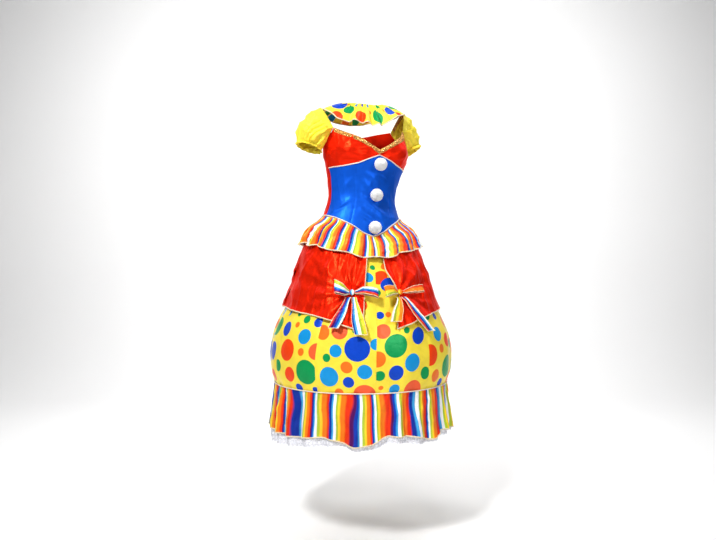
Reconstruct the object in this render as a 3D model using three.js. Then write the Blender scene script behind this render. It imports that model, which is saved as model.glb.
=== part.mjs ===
// A clown dress, hollow and open as it hangs when it is put on: a fitted satin bodice with
// bust cups and a pointed waist, short puff sleeves, a dotted neck ruffle, a striped peplum, an
// open overskirt drawn back by two bows, a dotted bubble skirt and a striped hem flounce that
// shows the lace edge of its petticoat.
// Sizes are in millimetres, +Z is up, the front faces -Y and the dress's own left is +X.
// The origin lies midway between the shoulder tops, where the dress hangs from the shoulders.
// Angles go round the dress in degrees: 0 at the front, 90 at the left side, 180 at the back.
import * as THREE from "three";
import { mergeVertices } from "three/addons/utils/BufferGeometryUtils.js";

// Driving sizes.
const CLOTH = 1.3; // satin with its turned edge
const SEAM_GAP = 0.3; // between two pieces at a seam
const PEPLUM_WAVES = 21;
const FLOUNCE_WAVES = 26;
const COLLAR_WAVES = 17;
const SLEEVE_GATHERS = 12;
const TIE_PLEATS = 9; // pleats that run out from each bow
const GORES = 10; // panels of the bubble skirt
const PRINCESS = 31; // angle of the seams beside the centre front panel
const SIDE_SEAM = 83;
const NECK_CORNER = 64; // where the neckline leaves the bust and runs up over the shoulder
const BACK_CORNER = 116;
const TRIM_WIDTH = 16;
const PIPING_WIDTH = 4.5;
const POMPOM_RADIUS = 23.5;
const ZIP_WIDTH = 6;

// The way the dress hangs: how far each level is moved sideways and back, and turned.
const POSE = [
  { z: 40, x: 8, y: 2, turn: 7 },
  { z: -100, x: 14, y: 1, turn: 9 },
  { z: -170, x: 16, y: 0, turn: 9 },
  { z: -330, x: 3, y: 2, turn: 11 },
  { z: -400, x: 0, y: 0, turn: 7 },
  { z: -470, x: 0, y: 0, turn: 3 },
  { z: -540, x: -1, y: 0, turn: -2 },
  { z: -656, x: 0, y: 0, turn: -5 },
  { z: -780, x: 0, y: 0, turn: -7 },
  { z: -880, x: 0, y: 0, turn: -8 },
  { z: -1200, x: 0, y: 0, turn: -8 },
];

// Half-sizes of the fitted bodice, with how far each cup of the bust stands out.
const BODICE = [
  { z: -30, side: 150, front: 74, back: 88, cup: 0 },
  { z: -86, side: 155, front: 94, back: 98, cup: 2 },
  { z: -125, side: 159, front: 105, back: 102, cup: 12 },
  { z: -165, side: 160, front: 109, back: 102, cup: 20 },
  { z: -200, side: 153, front: 107, back: 98, cup: 13 },
  { z: -222, side: 147, front: 104, back: 96, cup: 5 },
  { z: -260, side: 136, front: 98, back: 91, cup: 0 },
  { z: -320, side: 128, front: 93, back: 88, cup: 0 },
  { z: -360, side: 133, front: 97, back: 95, cup: 0 },
  { z: -400, side: 147, front: 106, back: 110, cup: 0 },
  { z: -475, side: 172, front: 122, back: 136, cup: 0 },
  { z: -560, side: 200, front: 142, back: 162, cup: 0 },
];
const CUP_ANGLE = 34;
const CUP_SPREAD = 24;

// Half-sizes of the dotted skirt under the overskirt, down to the seam that gathers the bubble.
const SKIRT = [
  { z: -400, side: 157, front: 112, back: 124 },
  { z: -440, side: 182, front: 128, back: 150 },
  { z: -490, side: 199, front: 152, back: 176 },
  { z: -537, side: 213, front: 178, back: 199 },
  { z: -600, side: 232, front: 211, back: 223 },
  { z: -656, side: 249, front: 236, back: 243 },
  { z: -706, side: 267, front: 262, back: 264 },
  { z: -740, side: 286, front: 280, back: 284 },
  { z: -808, side: 313, front: 302, back: 308 },
  { z: -872, side: 323, front: 311, back: 317 },
  { z: -930, side: 320, front: 308, back: 314 },
  { z: -973, side: 308, front: 298, back: 303 },
];
const BUBBLE_SEAM = -973;

// The striped flounce at the hem, from the bubble's seam down.
const FLOUNCE = [
  { t: 0, side: 307, front: 297, back: 302, wave: 1.5 },
  { t: 0.5, side: 313, front: 304, back: 308, wave: 5 },
  { t: 1, side: 321, front: 313, back: 317, wave: 9.5 },
];
// Its hem and the lace hem under it rise and dip round the skirt.
const FLOUNCE_HEM = [
  { angle: -180, z: -1130 },
  { angle: -130, z: -1122 },
  { angle: -90, z: -1127 },
  { angle: -53, z: -1126 },
  { angle: -30, z: -1115 },
  { angle: -9, z: -1140 },
  { angle: 8, z: -1109 },
  { angle: 24, z: -1117 },
  { angle: 39, z: -1137 },
  { angle: 49, z: -1119 },
  { angle: 75, z: -1129 },
  { angle: 120, z: -1121 },
  { angle: 180, z: -1130 },
];
const LACE_HEM = [
  { angle: -180, z: -1158 },
  { angle: -90, z: -1174 },
  { angle: -52, z: -1160 },
  { angle: -22, z: -1142 },
  { angle: -9, z: -1157 },
  { angle: 10, z: -1134 },
  { angle: 35, z: -1149 },
  { angle: 60, z: -1139 },
  { angle: 90, z: -1144 },
  { angle: 180, z: -1158 },
];

// Seam lines and edges as heights round the body. An angle counts the same to either side.
const NECKLINE = [
  { angle: 0, z: -164 },
  { angle: 12, z: -146 },
  { angle: 24, z: -126 },
  { angle: 45, z: -104 },
  { angle: 64, z: -86 },
];
const ARMHOLE = [
  { angle: 64, z: -86 },
  { angle: 74, z: -113 },
  { angle: 83, z: -132 },
  { angle: 91, z: -138 },
  { angle: 99, z: -130 },
  { angle: 108, z: -106 },
  { angle: 116, z: -78 },
];
const BACK_NECK = [
  { angle: 116, z: -78 },
  { angle: 140, z: -80 },
  { angle: 180, z: -90 },
];
const UNDERBUST = [
  { angle: 0, z: -182 },
  { angle: 12, z: -194 },
  { angle: 31, z: -213 },
  { angle: 55, z: -221 },
  { angle: 83, z: -223 },
];
const WAIST = [
  { angle: 0, z: -468 },
  { angle: 12, z: -455 },
  { angle: 27, z: -430 },
  { angle: 45, z: -411 },
  { angle: 60, z: -400 },
  { angle: 85, z: -392 },
  { angle: 180, z: -398 },
];
const PEPLUM_HEM = [
  { angle: 0, z: -540 },
  { angle: 20, z: -528 },
  { angle: 45, z: -506 },
  { angle: 85, z: -488 },
  { angle: 180, z: -494 },
];
const OVERSKIRT_HEM = [
  { angle: 8, z: -776 },
  { angle: 16, z: -764 },
  { angle: 23, z: -752 },
  { angle: 33, z: -737 },
  { angle: 48, z: -725 },
  { angle: 90, z: -708 },
  { angle: 180, z: -712 },
];
// The overskirt's open front edges, as angles down the skirt. The bows pull them aside, the left
// one right back to its knot.
const FRONT_EDGE = [
  { z: -440, left: 6, right: 6 },
  { z: -573, left: 8, right: 8 },
  { z: -610, left: 11.5, right: 8.5 },
  { z: -640, left: 15.5, right: 8.7 },
  { z: -660, left: 17.5, right: 8.9 },
  { z: -690, left: 15.5, right: 9 },
  { z: -776, left: 12.5, right: 9 },
];
const BOW = { angle: 18, z: -656 };
// The left shoulder is drawn up and in.
const SHRUG = { up: 13, inward: 12, low: -150, high: -50, out: 150 };

// Helpers.
const radians = (degrees) => (degrees * Math.PI) / 180;
const mix = (a, b, share) => a + (b - a) * share;
const clamp01 = (x) => Math.min(1, Math.max(0, x));
const smooth = (x) => clamp01(x) ** 2 * (3 - 2 * clamp01(x));
const spread = (count) => Array.from({ length: count + 1 }, (_, i) => i / count);

// A smooth curve through one column of a table, against another column, with no overshoot.
function curve(rows, by, column) {
  const sorted = [...rows].sort((a, b) => a[by] - b[by]);
  const at = sorted.map((row) => row[by]);
  const value = sorted.map((row) => row[column]);
  const rise = at.slice(1).map((x, i) => (value[i + 1] - value[i]) / (x - at[i]));
  const slope = value.map((_, i) => {
    if (i === 0) return rise[0];
    if (i === rise.length) return rise[i - 1];
    const [before, after] = [rise[i - 1], rise[i]];
    return before * after <= 0 ? 0 : (2 * before * after) / (before + after);
  });
  return (x) => {
    if (x <= at[0]) return value[0];
    if (x >= at[at.length - 1]) return value[at.length - 1];
    const i = at.findIndex((right, k) => k > 0 && x <= right) - 1;
    const width = at[i + 1] - at[i];
    const s = (x - at[i]) / width;
    const rest = 1 - s;
    return (
      value[i] * rest * rest * (1 + 2 * s) +
      slope[i] * width * s * rest * rest +
      value[i + 1] * s * s * (3 - 2 * s) -
      slope[i + 1] * width * s * s * rest
    );
  };
}
const curves = (rows, by, columns) =>
  Object.fromEntries(columns.map((name) => [name, curve(rows, by, name)]));
const aroundBoth = (rows) => {
  const line = curve(rows, "angle", "z");
  return (angle) => line(Math.abs(((angle + 540) % 360) - 180));
};

const pose = curves(POSE, "z", ["x", "y", "turn"]);
const bodice = curves(BODICE, "z", ["side", "front", "back", "cup"]);
const skirt = curves(SKIRT, "z", ["side", "front", "back"]);
const flounceSize = curves(FLOUNCE, "t", ["side", "front", "back", "wave"]);
const neckline = aroundBoth(NECKLINE);
const armhole = aroundBoth(ARMHOLE);
const backNeck = aroundBoth(BACK_NECK);
const underbust = aroundBoth(UNDERBUST);
const waist = aroundBoth(WAIST);
const peplumHem = aroundBoth(PEPLUM_HEM);
const overskirtHem = aroundBoth(OVERSKIRT_HEM);
const frontEdge = curves(FRONT_EDGE, "z", ["left", "right"]);
const signed = (angle) => ((angle + 540) % 360) - 180;
const flounceHemLine = curve(FLOUNCE_HEM, "angle", "z");
const laceHemLine = curve(LACE_HEM, "angle", "z");

// A place given by how far it lies to the dress's left and to the front, as its level hangs.
function stand(left, front, z, level = z) {
  const turn = radians(pose.turn(level));
  const shrug = smooth(left / SHRUG.out) * smooth((z - SHRUG.low) / (SHRUG.high - SHRUG.low));
  const across = left - SHRUG.inward * shrug;
  return new THREE.Vector3(
    pose.x(level) + across * Math.cos(turn) + front * Math.sin(turn),
    pose.y(level) + across * Math.sin(turn) - front * Math.cos(turn),
    z + SHRUG.up * shrug,
  );
}

// The same place from an angle and the half-sizes of an oval.
function oval(size, at, angle) {
  const a = radians(angle);
  const depth = Math.cos(a) > 0 ? size.front(at) : size.back(at);
  return { left: size.side(at) * Math.sin(a), front: depth * Math.cos(a) };
}

// A cloth wall as one closed solid. surface(u, v) is its outer face, with u to the dress's left
// and v upward, and the inner face lies `thick` behind it. A ring joins its last column to its first.
const STEP = 1e-3;
function wall(surface, columns, rows, { thick = CLOTH, ring = false } = {}) {
  const outer = [];
  const inner = [];
  for (const v of rows)
    for (const u of columns) {
      const point = surface(u, v);
      const alongU = surface(u + STEP, v).sub(surface(u - STEP, v));
      const alongV = surface(u, v + STEP).sub(surface(u, v - STEP));
      const normal = alongU.cross(alongV).normalize();
      outer.push(point);
      inner.push(point.clone().addScaledVector(normal, -thick));
    }
  const width = columns.length;
  const height = rows.length;
  const points = [...outer, ...inner];
  const out = (i, j) => j * width + (i % width);
  const back = (i, j) => out(i, j) + outer.length;
  const faces = [];
  const quad = (a, b, c, d) => faces.push(a, b, c, a, c, d);
  const across = ring ? width : width - 1;
  for (let i = 0; i < across; i++) {
    for (let j = 0; j < height - 1; j++) {
      quad(out(i, j), out(i + 1, j), out(i + 1, j + 1), out(i, j + 1));
      quad(back(i, j), back(i, j + 1), back(i + 1, j + 1), back(i + 1, j));
    }
    quad(out(i, 0), back(i, 0), back(i + 1, 0), out(i + 1, 0));
    const top = height - 1;
    quad(out(i, top), out(i + 1, top), back(i + 1, top), back(i, top));
  }
  if (!ring)
    for (let j = 0; j < height - 1; j++) {
      quad(out(0, j), out(0, j + 1), back(0, j + 1), back(0, j));
      const last = width - 1;
      quad(out(last, j), back(last, j), back(last, j + 1), out(last, j + 1));
    }
  const geometry = new THREE.BufferGeometry();
  geometry.setAttribute(
    "position",
    new THREE.Float32BufferAttribute(points.flatMap((p) => p.toArray()), 3),
  );
  geometry.setIndex(faces);
  return geometry;
}

// The outer side of a surface, moved out along its normal.
function movedOut(surface, distance) {
  return (u, v) => {
    const alongU = surface(u + STEP, v).sub(surface(u - STEP, v));
    const alongV = surface(u, v + STEP).sub(surface(u, v - STEP));
    const normal = alongU.cross(alongV).normalize();
    const far = typeof distance === "function" ? distance(u, v) : distance;
    return surface(u, v).addScaledVector(normal, far);
  };
}

const dress = new THREE.Group();
const satin = (color, roughness = 0.35) =>
  new THREE.MeshStandardMaterial({ color, roughness, metalness: 0, side: THREE.DoubleSide });
const RED = satin(0xd82010);
const BLUE = satin(0x1448c8);
const YELLOW = satin(0xf4e028);
const DOTTED = satin(0xf0d840);
const STRIPED = satin(0xe88030);
const WHITE = satin(0xf2eee8, 0.6);
const LACE = satin(0xf4f4f6, 0.8);
const GOLD = satin(0xb8892c, 0.45);
const ZIP_TAPE = satin(0xb81c10, 0.6);
const METAL = new THREE.MeshStandardMaterial({ color: 0xb8b8bc, roughness: 0.3, metalness: 1 });
function add(name, geometry, material) {
  const mesh = new THREE.Mesh(geometry, material);
  mesh.name = name;
  dress.add(mesh);
}
// Builds a piece for each side of the dress: its left at +1 and its right at -1.
const SIDES = [
  { name: "left", sign: 1 },
  { name: "right", sign: -1 },
];
// An angle range from a to b on the left, or its mirror image, always running to the dress's left.
const sideRange = (sign, a, b) => (sign > 0 ? [a, b] : [-b, -a]);

// Bodice: seven satin panels on one fitted form, with a seam gap between each pair.
function bodicePoint(angle, z) {
  const { left, front } = oval(bodice, z, angle);
  const bump = (centre) => Math.exp(-(((angle - centre) / CUP_SPREAD) ** 2));
  const cup = bodice.cup(z) * (bump(CUP_ANGLE) + bump(-CUP_ANGLE));
  const a = radians(angle);
  return stand(left + cup * Math.sin(a), front + cup * Math.cos(a), z);
}
// Half a seam gap as an angle, which depends on how far the seam is from the middle.
const seamAngle = (radius, gap = SEAM_GAP) => (gap / 2 / radius) * (180 / Math.PI);
const BODICE_RADIUS = 110;

// Panels that meet have their columns and rows at the same places, so that no edge crosses another.
function bodicePanel(fromAngle, toAngle, low, high) {
  const edge = seamAngle(BODICE_RADIUS);
  const from = fromAngle + edge;
  const to = toAngle - edge;
  return (u, v) => {
    const angle = mix(from, to, u);
    return bodicePoint(angle, mix(low(angle), high(angle), v));
  };
}
const columnsAt = (angles, from, to) =>
  angles.map((angle) => clamp01((angle - from) / (to - from))).sort((a, b) => a - b);
const MIDRIFF_ROWS = spread(6);
const CUP_ROWS = spread(4);
const CUP_COLUMNS = [0, 5, 10, 16, 22, 28, 34, 41, 48, 56, 64, 71, 77, 83];
const CENTRE_COLUMNS = [-31, -27, -18, -9, 0, 9, 18, 27, 31];
const SIDE_COLUMNS = [31, 36, 45, 54, 63, 72, 83];
const BACK_COLUMNS = [83, 90, 99, 108, 116, 126, 144, 162, 180];
const cupTop = (angle) =>
  Math.abs(angle) <= NECK_CORNER ? neckline(angle) : armhole(angle) - SEAM_GAP;
const aboveUnderbust = (angle) => underbust(angle) + SEAM_GAP / 2;
const belowUnderbust = (angle) => underbust(angle) - SEAM_GAP / 2;
const aboveWaist = (angle) => waist(angle) + SEAM_GAP / 2;
for (const { name, sign } of SIDES) {
  const [from, to] = sideRange(sign, 0, SIDE_SEAM);
  const columns = columnsAt(CUP_COLUMNS.map((angle) => sign * angle), from, to);
  const surface = bodicePanel(from, to, aboveUnderbust, cupTop);
  add(`bust_${name}`, wall(surface, columns, CUP_ROWS), RED);
}
add(
  "bodice_centre_front",
  wall(
    bodicePanel(-PRINCESS, PRINCESS, aboveWaist, belowUnderbust),
    columnsAt(CENTRE_COLUMNS, -PRINCESS, PRINCESS),
    MIDRIFF_ROWS,
  ),
  BLUE,
);
for (const { name, sign } of SIDES) {
  const [from, to] = sideRange(sign, PRINCESS, SIDE_SEAM);
  const columns = columnsAt(SIDE_COLUMNS.map((angle) => sign * angle), from, to);
  const surface = bodicePanel(from, to, aboveWaist, belowUnderbust);
  add(`bodice_side_front_${name}`, wall(surface, columns, MIDRIFF_ROWS), BLUE);
}
function backTop(angle) {
  const a = Math.abs(((angle + 540) % 360) - 180);
  return a < BACK_CORNER ? armhole(a) - SEAM_GAP : backNeck(a);
}
// The back runs on past the level of the underbust seam: v from 0 to 1 below it, 1 to 2 above it.
function backHeight(angle, v) {
  return v <= 1
    ? mix(aboveWaist(angle), belowUnderbust(angle), v)
    : mix(aboveUnderbust(angle), backTop(angle), v - 1);
}
const BACK_ROWS = [...MIDRIFF_ROWS, ...CUP_ROWS.slice(1).map((v) => v + 1)];
const zipHalfAngle = seamAngle(BODICE[7].back, ZIP_WIDTH);
for (const { name, sign } of SIDES) {
  const gap = seamAngle(BODICE[7].back, SEAM_GAP * 2);
  const [from, to] = sideRange(sign, SIDE_SEAM + seamAngle(BODICE_RADIUS), 180 - zipHalfAngle - gap);
  const columns = columnsAt(BACK_COLUMNS.map((angle) => sign * angle), from, to);
  const surface = (u, v) => {
    const angle = mix(from, to, u);
    return bodicePoint(angle, backHeight(angle, v));
  };
  add(`bodice_back_${name}`, wall(surface, columns, BACK_ROWS), RED);
}

// The zip in the centre back: a coil tape, with its slider and pull tab at the top.
const zipSurface = (u, v) => {
  const angle = 180 + (u * 2 - 1) * zipHalfAngle;
  return bodicePoint(angle, backHeight(180, v));
};
add("zip_coil", wall(zipSurface, spread(2), BACK_ROWS, { thick: 1.6 }), ZIP_TAPE);
const SLIDER = { z: -106, width: 8, height: 10, depth: 2.4, ear: 1.1, earGap: 6.2, earOut: 3.2 };
const PULL = { width: 5.6, length: 24, thick: 1.2, barrel: 0.9 };
// A closed block from its lowest to its highest corner, in the slider's own directions.
const block = (low, high) =>
  new THREE.BoxGeometry(...high.map((x, i) => x - low[i])).translate(
    ...high.map((x, i) => (x + low[i]) / 2),
  );
// Directions at the slider: x to the dress's left, y out of the back, z up the tape.
function atSlider(geometry) {
  const foot = bodicePoint(180, SLIDER.z);
  const left = stand(1, 0, SLIDER.z).sub(stand(0, 0, SLIDER.z));
  const up = bodicePoint(180, SLIDER.z + 5).sub(bodicePoint(180, SLIDER.z - 5)).normalize();
  const out = up.clone().cross(left).normalize();
  const turned = new THREE.Matrix4().makeBasis(left, out, up).setPosition(foot);
  return geometry.applyMatrix4(turned);
}
// The slider's outline seen from the side, cut as one shape with its two ears across the top.
function sliderGeometry() {
  const { width, height, depth, ear, earGap, earOut } = SLIDER;
  const outline = new THREE.Shape();
  const half = width / 2;
  const gap = earGap / 2;
  const tall = depth + earOut;
  const corners = [
    [-half, 0],
    [half, 0],
    [half, depth],
    [gap + ear, depth],
    [gap + ear, tall],
    [gap, tall],
    [gap, depth],
    [-gap, depth],
    [-gap, tall],
    [-gap - ear, tall],
    [-gap - ear, depth],
    [-half, depth],
  ];
  corners.forEach(([x, y], i) => (i ? outline.lineTo(x, y) : outline.moveTo(x, y)));
  return new THREE.ExtrudeGeometry(outline, { depth: height, bevelEnabled: false })
    .translate(0, SEAM_GAP, -height / 2);
}
add("zip_slider", atSlider(sliderGeometry()), METAL);
function pullGeometry() {
  const axisOut = SEAM_GAP + SLIDER.depth + SLIDER.earOut / 2 + 0.4;
  const { width, length, thick, barrel } = PULL;
  const outline = new THREE.Shape();
  outline.moveTo(-barrel, barrel);
  outline.lineTo(barrel, barrel);
  outline.lineTo(thick / 2, -barrel * 2);
  outline.lineTo(thick / 2, -length);
  outline.lineTo(-thick / 2, -length);
  outline.lineTo(-thick / 2, -barrel * 2);
  outline.closePath();
  // The side outline lies in out and up, and is drawn out along the slider's width.
  const tab = new THREE.ExtrudeGeometry(outline, { depth: width, bevelEnabled: false });
  const place = new THREE.Matrix4().makeBasis(
    new THREE.Vector3(0, 1, 0),
    new THREE.Vector3(0, 0, 1),
    new THREE.Vector3(1, 0, 0),
  );
  return tab.translate(0, 0, -width / 2).applyMatrix4(place).translate(0, axisOut, 0);
}
add("zip_pull", atSlider(pullGeometry()), METAL);

// Skirts: each layer springs from the waist seam and follows the dotted skirt, moved outward.
const SPRING = 45; // drop below the waist seam over which a layer leaves the bodice's line
function skirtPoint(angle, z, outward) {
  const share = smooth((waist(angle) - z) / SPRING);
  const start = oval(bodice, z, angle);
  const ring = oval(skirt, z, angle);
  const a = radians(angle);
  return stand(
    mix(start.left, ring.left, share) + outward * Math.sin(a),
    mix(start.front, ring.front, share) + outward * Math.cos(a),
    z,
  );
}
// Rows of the skirts: from 0 at the waist to -1 at NEAR below it, and on to -2 at the hem. The
// layers have the first rows in common, so that no layer crosses the one under it.
const NEAR = 110;
const NEAR_ROWS = [-1, -0.7, -0.45, -0.27, -0.13, 0];
function heightAt(angle, v, hem) {
  const top = waist(angle) - SEAM_GAP / 2;
  return v >= -1 ? top + v * NEAR : mix(top - NEAR, hem, -1 - v);
}
// How far each layer stands outside the dotted skirt at a drop below the waist seam.
const LAYER = CLOTH + SEAM_GAP;
const overskirtOut = (drop) => LAYER + 0.3 + 6 * smooth((drop + 10) / 80);
const bubbleGather = (angle, z) =>
  2.2 * smooth((z + 940) / -33) * (1 + Math.cos(radians(angle * 30)));

// The dotted bubble skirt: ten gores, seamed down the centre front and centre back.
const goreEdge = seamAngle(300);
const GORE_ROWS = [-2, -1.86, -1.68, -1.46, -1.2, ...NEAR_ROWS];
for (let i = 0; i < GORES; i++) {
  const width = 360 / GORES;
  const from = i * width + goreEdge;
  const to = (i + 1) * width - goreEdge;
  const surface = (u, v) => {
    const angle = mix(from, to, u);
    const z = heightAt(angle, v, BUBBLE_SEAM + SEAM_GAP);
    return skirtPoint(angle, z, -bubbleGather(angle, z));
  };
  add(`bubble_gore_${i + 1}`, wall(surface, spread(4), GORE_ROWS), DOTTED);
}

// The overskirt: two fronts and two backs. Pleats run out from each bow, raised outward only.
const PLEAT = { depth: 9, reach: 45 };
// The height of the pleats' crests, and how much of it is reached at a place.
function tiePleats(angle, z) {
  const radius = skirt.side(z);
  let crest = 0;
  let raised = 0;
  for (const sign of [1, -1]) {
    const across = radius * radians(angle - sign * BOW.angle);
    const up = z - BOW.z;
    const far = Math.hypot(across, up) / PLEAT.reach;
    const size = PLEAT.depth * far * Math.exp(1 - far) * smooth((far - 0.1) / 0.5);
    crest += size;
    raised += (size * (1 + Math.cos(TIE_PLEATS * Math.atan2(up, across * sign)))) / 2;
  }
  return { crest, raised };
}
// Long soft folds that fall from the gathered waist, and fade where the pleats take over.
function fallFolds(angle, z) {
  const away = smooth((Math.abs(angle) - 30) / 25);
  const down = smooth((waist(angle) - z) / 200);
  const line = Math.cos(radians(angle * 11 + 14 * Math.sin(radians(angle * 3))));
  const crest = 6 * away * down;
  return { crest, raised: (crest * (1 + line)) / 2 };
}
function overskirtPoint(angle, z, { extra = 0, height = "raised" } = {}) {
  const under = smooth((-490 - z) / 60);
  const folds = (tiePleats(angle, z)[height] + fallFolds(angle, z)[height]) * mix(0.15, 1, under);
  return skirtPoint(angle, z, overskirtOut(waist(angle) - z) + folds + extra);
}
const OVERSKIRT_SIDE = 90;
const OVERSKIRT_ROWS = [-2, -1.8, -1.6, -1.45, -1.3, -1.15, ...NEAR_ROWS];
const overskirtEdge = seamAngle(260);
function overskirtFront(name, sign) {
  return (u, v) => {
    const along = sign > 0 ? u : 1 - u;
    const share = along * mix(0.55, 1, along);
    // The edge's angle depends on the height, and the height on the angle, so both are refined.
    let angle = mix(FRONT_EDGE[1][name], OVERSKIRT_SIDE, share);
    let z = BOW.z;
    for (let i = 0; i < 4; i++) {
      z = heightAt(angle, v, overskirtHem(angle));
      angle = mix(frontEdge[name](z), OVERSKIRT_SIDE - overskirtEdge, share);
    }
    return overskirtPoint(sign * angle, z);
  };
}
for (const { name, sign } of SIDES)
  add(`overskirt_front_${name}`, wall(overskirtFront(name, sign), spread(15), OVERSKIRT_ROWS), RED);
for (const { name, sign } of SIDES) {
  const [from, to] = sideRange(sign, OVERSKIRT_SIDE + overskirtEdge, 180 - overskirtEdge);
  const surface = (u, v) => {
    const angle = mix(from, to, u);
    return overskirtPoint(angle, heightAt(angle, v, overskirtHem(angle)));
  };
  add(`overskirt_back_${name}`, wall(surface, spread(10), OVERSKIRT_ROWS), RED);
}

// The striped peplum over it: a gathered strip that follows the pointed waist.
const peplumWave = (angle) =>
  Math.cos(radians(angle * PEPLUM_WAVES + 26 * Math.sin(radians(angle * 4 + 20))));
function peplumPoint(angle, t) {
  const z = mix(waist(angle) - SEAM_GAP / 2, peplumHem(angle), t);
  const off = LAYER + mix(0.6, 10, smooth(t / 0.35)) + t * t * (3 + 7 * peplumWave(angle));
  return skirtPoint(angle, z, overskirtOut(waist(angle) - z) + off);
}
// A ring of cloth cut into a front and a back half at the side seams.
function halves(name, point, columns, rows, material, options) {
  const edge = seamAngle(250);
  const half = (from, to) => (u, v) => point(mix(from, to, u), 1 - v);
  const front = half(-90 + edge, 90 - edge);
  const back = half(90 + edge, 270 - edge);
  add(`${name}_front`, wall(front, spread(columns), rows, options), material);
  add(`${name}_back`, wall(back, spread(columns), rows, options), material);
}
halves("peplum", peplumPoint, 52, [0, 0.35, 0.7, 1], STRIPED);

// The striped hem flounce, and the lace-edged petticoat that hangs inside it from the same seam.
const flounceWave = (angle) =>
  Math.cos(radians(angle * FLOUNCE_WAVES + 24 * Math.sin(radians(angle * 5 + 40))));
function flouncePoint(angle, t, inward = 0) {
  const z = mix(BUBBLE_SEAM - SEAM_GAP / 2, flounceHemLine(signed(angle)), t);
  const { left, front } = oval(flounceSize, t, angle);
  const out = flounceSize.wave(t) * flounceWave(angle) - inward;
  const a = radians(angle);
  return stand(left + out * Math.sin(a), front + out * Math.cos(a), z);
}
halves("flounce", (angle, t) => flouncePoint(angle, t), 52, [0, 0.5, 1], STRIPED);
function petticoatPoint(angle, t) {
  const z = mix(BUBBLE_SEAM - 4, laceHemLine(signed(angle)), t);
  const level = clamp01((BUBBLE_SEAM - z) / (BUBBLE_SEAM - flounceHemLine(signed(angle))));
  return flouncePoint(angle, level, LAYER + 5 * level).setZ(z);
}
halves("petticoat", petticoatPoint, 52, [0, 0.5, 1], LACE);

// Sleeves: a gathered puff between the armhole, the open shoulder edge and an elastic cuff.
// The sleeves differ: the left one hangs and reaches forward, the right one is lifted.
const CUFFS = {
  left: { out: 202, front: -33, z: -133, lean: 23, swing: 15, bulge: 16 },
  right: { out: 208, front: -12, z: -147, lean: 20, swing: 0, bulge: 27 },
};
const CUFF = { across: 41, deep: 46 };
const FRILL = { length: 9, out: 5 };
const SHOULDER = { left: 171, front: -4, z: -11 };
const SLEEVE_LEVEL = -90; // the sleeves stand as the chest does at this height
const LOOP_SPLIT = 0.625; // share of the sleeve's inner edge that is sewn to the armhole
const ARMHOLE_OFF = 1.5; // the sleeve head stands this far off the bodice's edge
// Its inner edge for loop from 0 to 1: down the armhole, up to the back, and over the shoulder.
function sleeveEdge(sign, loop) {
  const turn = ((loop % 1) + 1) % 1;
  if (turn <= LOOP_SPLIT) {
    const angle = mix(NECK_CORNER, BACK_CORNER, turn / LOOP_SPLIT);
    const edge = bodicePoint(sign * angle, armhole(angle) + SEAM_GAP / 2);
    const off = stand(sign * Math.sin(radians(angle)), Math.cos(radians(angle)), 0, SLEEVE_LEVEL)
      .sub(stand(0, 0, 0, SLEEVE_LEVEL));
    return edge.addScaledVector(off, ARMHOLE_OFF);
  }
  const share = (turn - LOOP_SPLIT) / (1 - LOOP_SPLIT);
  const back = sleeveEdge(sign, LOOP_SPLIT);
  const front = sleeveEdge(sign, 0);
  const top = stand(sign * SHOULDER.left, SHOULDER.front, SHOULDER.z, SLEEVE_LEVEL);
  const middle = back.clone().lerp(front, 0.5);
  const rise = Math.sin(Math.PI * share);
  return back.lerp(front, share).addScaledVector(top.sub(middle), rise);
}
// The underarm is halfway along the armhole, and the cuff's places line up with it.
function cuffPoint(sign, loop, wider, down) {
  const cuff = sign > 0 ? CUFFS.left : CUFFS.right;
  const round = 2 * Math.PI * (loop - LOOP_SPLIT / 2);
  const lean = radians(cuff.lean);
  const swing = radians(cuff.swing);
  const inward = Math.cos(round) * (CUFF.across + wider);
  const toBack = Math.sin(round) * (CUFF.deep + wider);
  const out = cuff.out - inward * Math.cos(lean) + down * Math.sin(lean);
  const front = cuff.front - toBack * Math.cos(swing) + down * Math.sin(swing);
  const z = cuff.z - inward * Math.sin(lean) - toBack * Math.sin(swing) - down * Math.cos(lean);
  return stand(sign * out, front, z, SLEEVE_LEVEL);
}
const PUFF = [
  { s: 0, bulge: 0, gather: 0.6 },
  { s: 0.1, bulge: 0.34, gather: 0.9 },
  { s: 0.2, bulge: 0.66, gather: 2.2 },
  { s: 0.45, bulge: 1, gather: 3.4 },
  { s: 0.72, bulge: 0.86, gather: 3 },
  { s: 1, bulge: 0, gather: 1.2 },
];
const puff = curves(PUFF, "s", ["bulge", "gather"]);
const PUFF_END = 0.9; // share of the sleeve above the elastic
const TRIM_DOWN = 0.085; // share of the sleeve that the braid covers at the shoulder
const SLEEVE_COLUMNS = SLEEVE_GATHERS * 4;
const ringColumns = (count) => spread(count).slice(0, -1);
function sleevePoint(sign, loop, down) {
  const s = clamp01(down / PUFF_END);
  const frill = clamp01((down - PUFF_END) / (1 - PUFF_END));
  const gather = Math.cos(2 * Math.PI * SLEEVE_GATHERS * loop);
  const start = sleeveEdge(sign, loop);
  const wider = FRILL.out * frill + gather * mix(1.2, 2.5, frill);
  const end = cuffPoint(sign, loop, wider, FRILL.length * frill);
  const away = cuffPoint(sign, loop, 100, 0).sub(cuffPoint(sign, loop, 0, 0)).normalize();
  const outside = (1 - Math.cos(2 * Math.PI * (loop - LOOP_SPLIT / 2))) / 2;
  const most = sign > 0 ? CUFFS.left.bulge : CUFFS.right.bulge;
  const bulge = mix(1, most, smooth(outside)) * puff.bulge(s);
  const ripple = puff.gather(s) * gather * mix(0.3, 1, outside) * (1 - frill);
  return start.lerp(end, s).addScaledVector(away, bulge + ripple);
}
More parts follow.
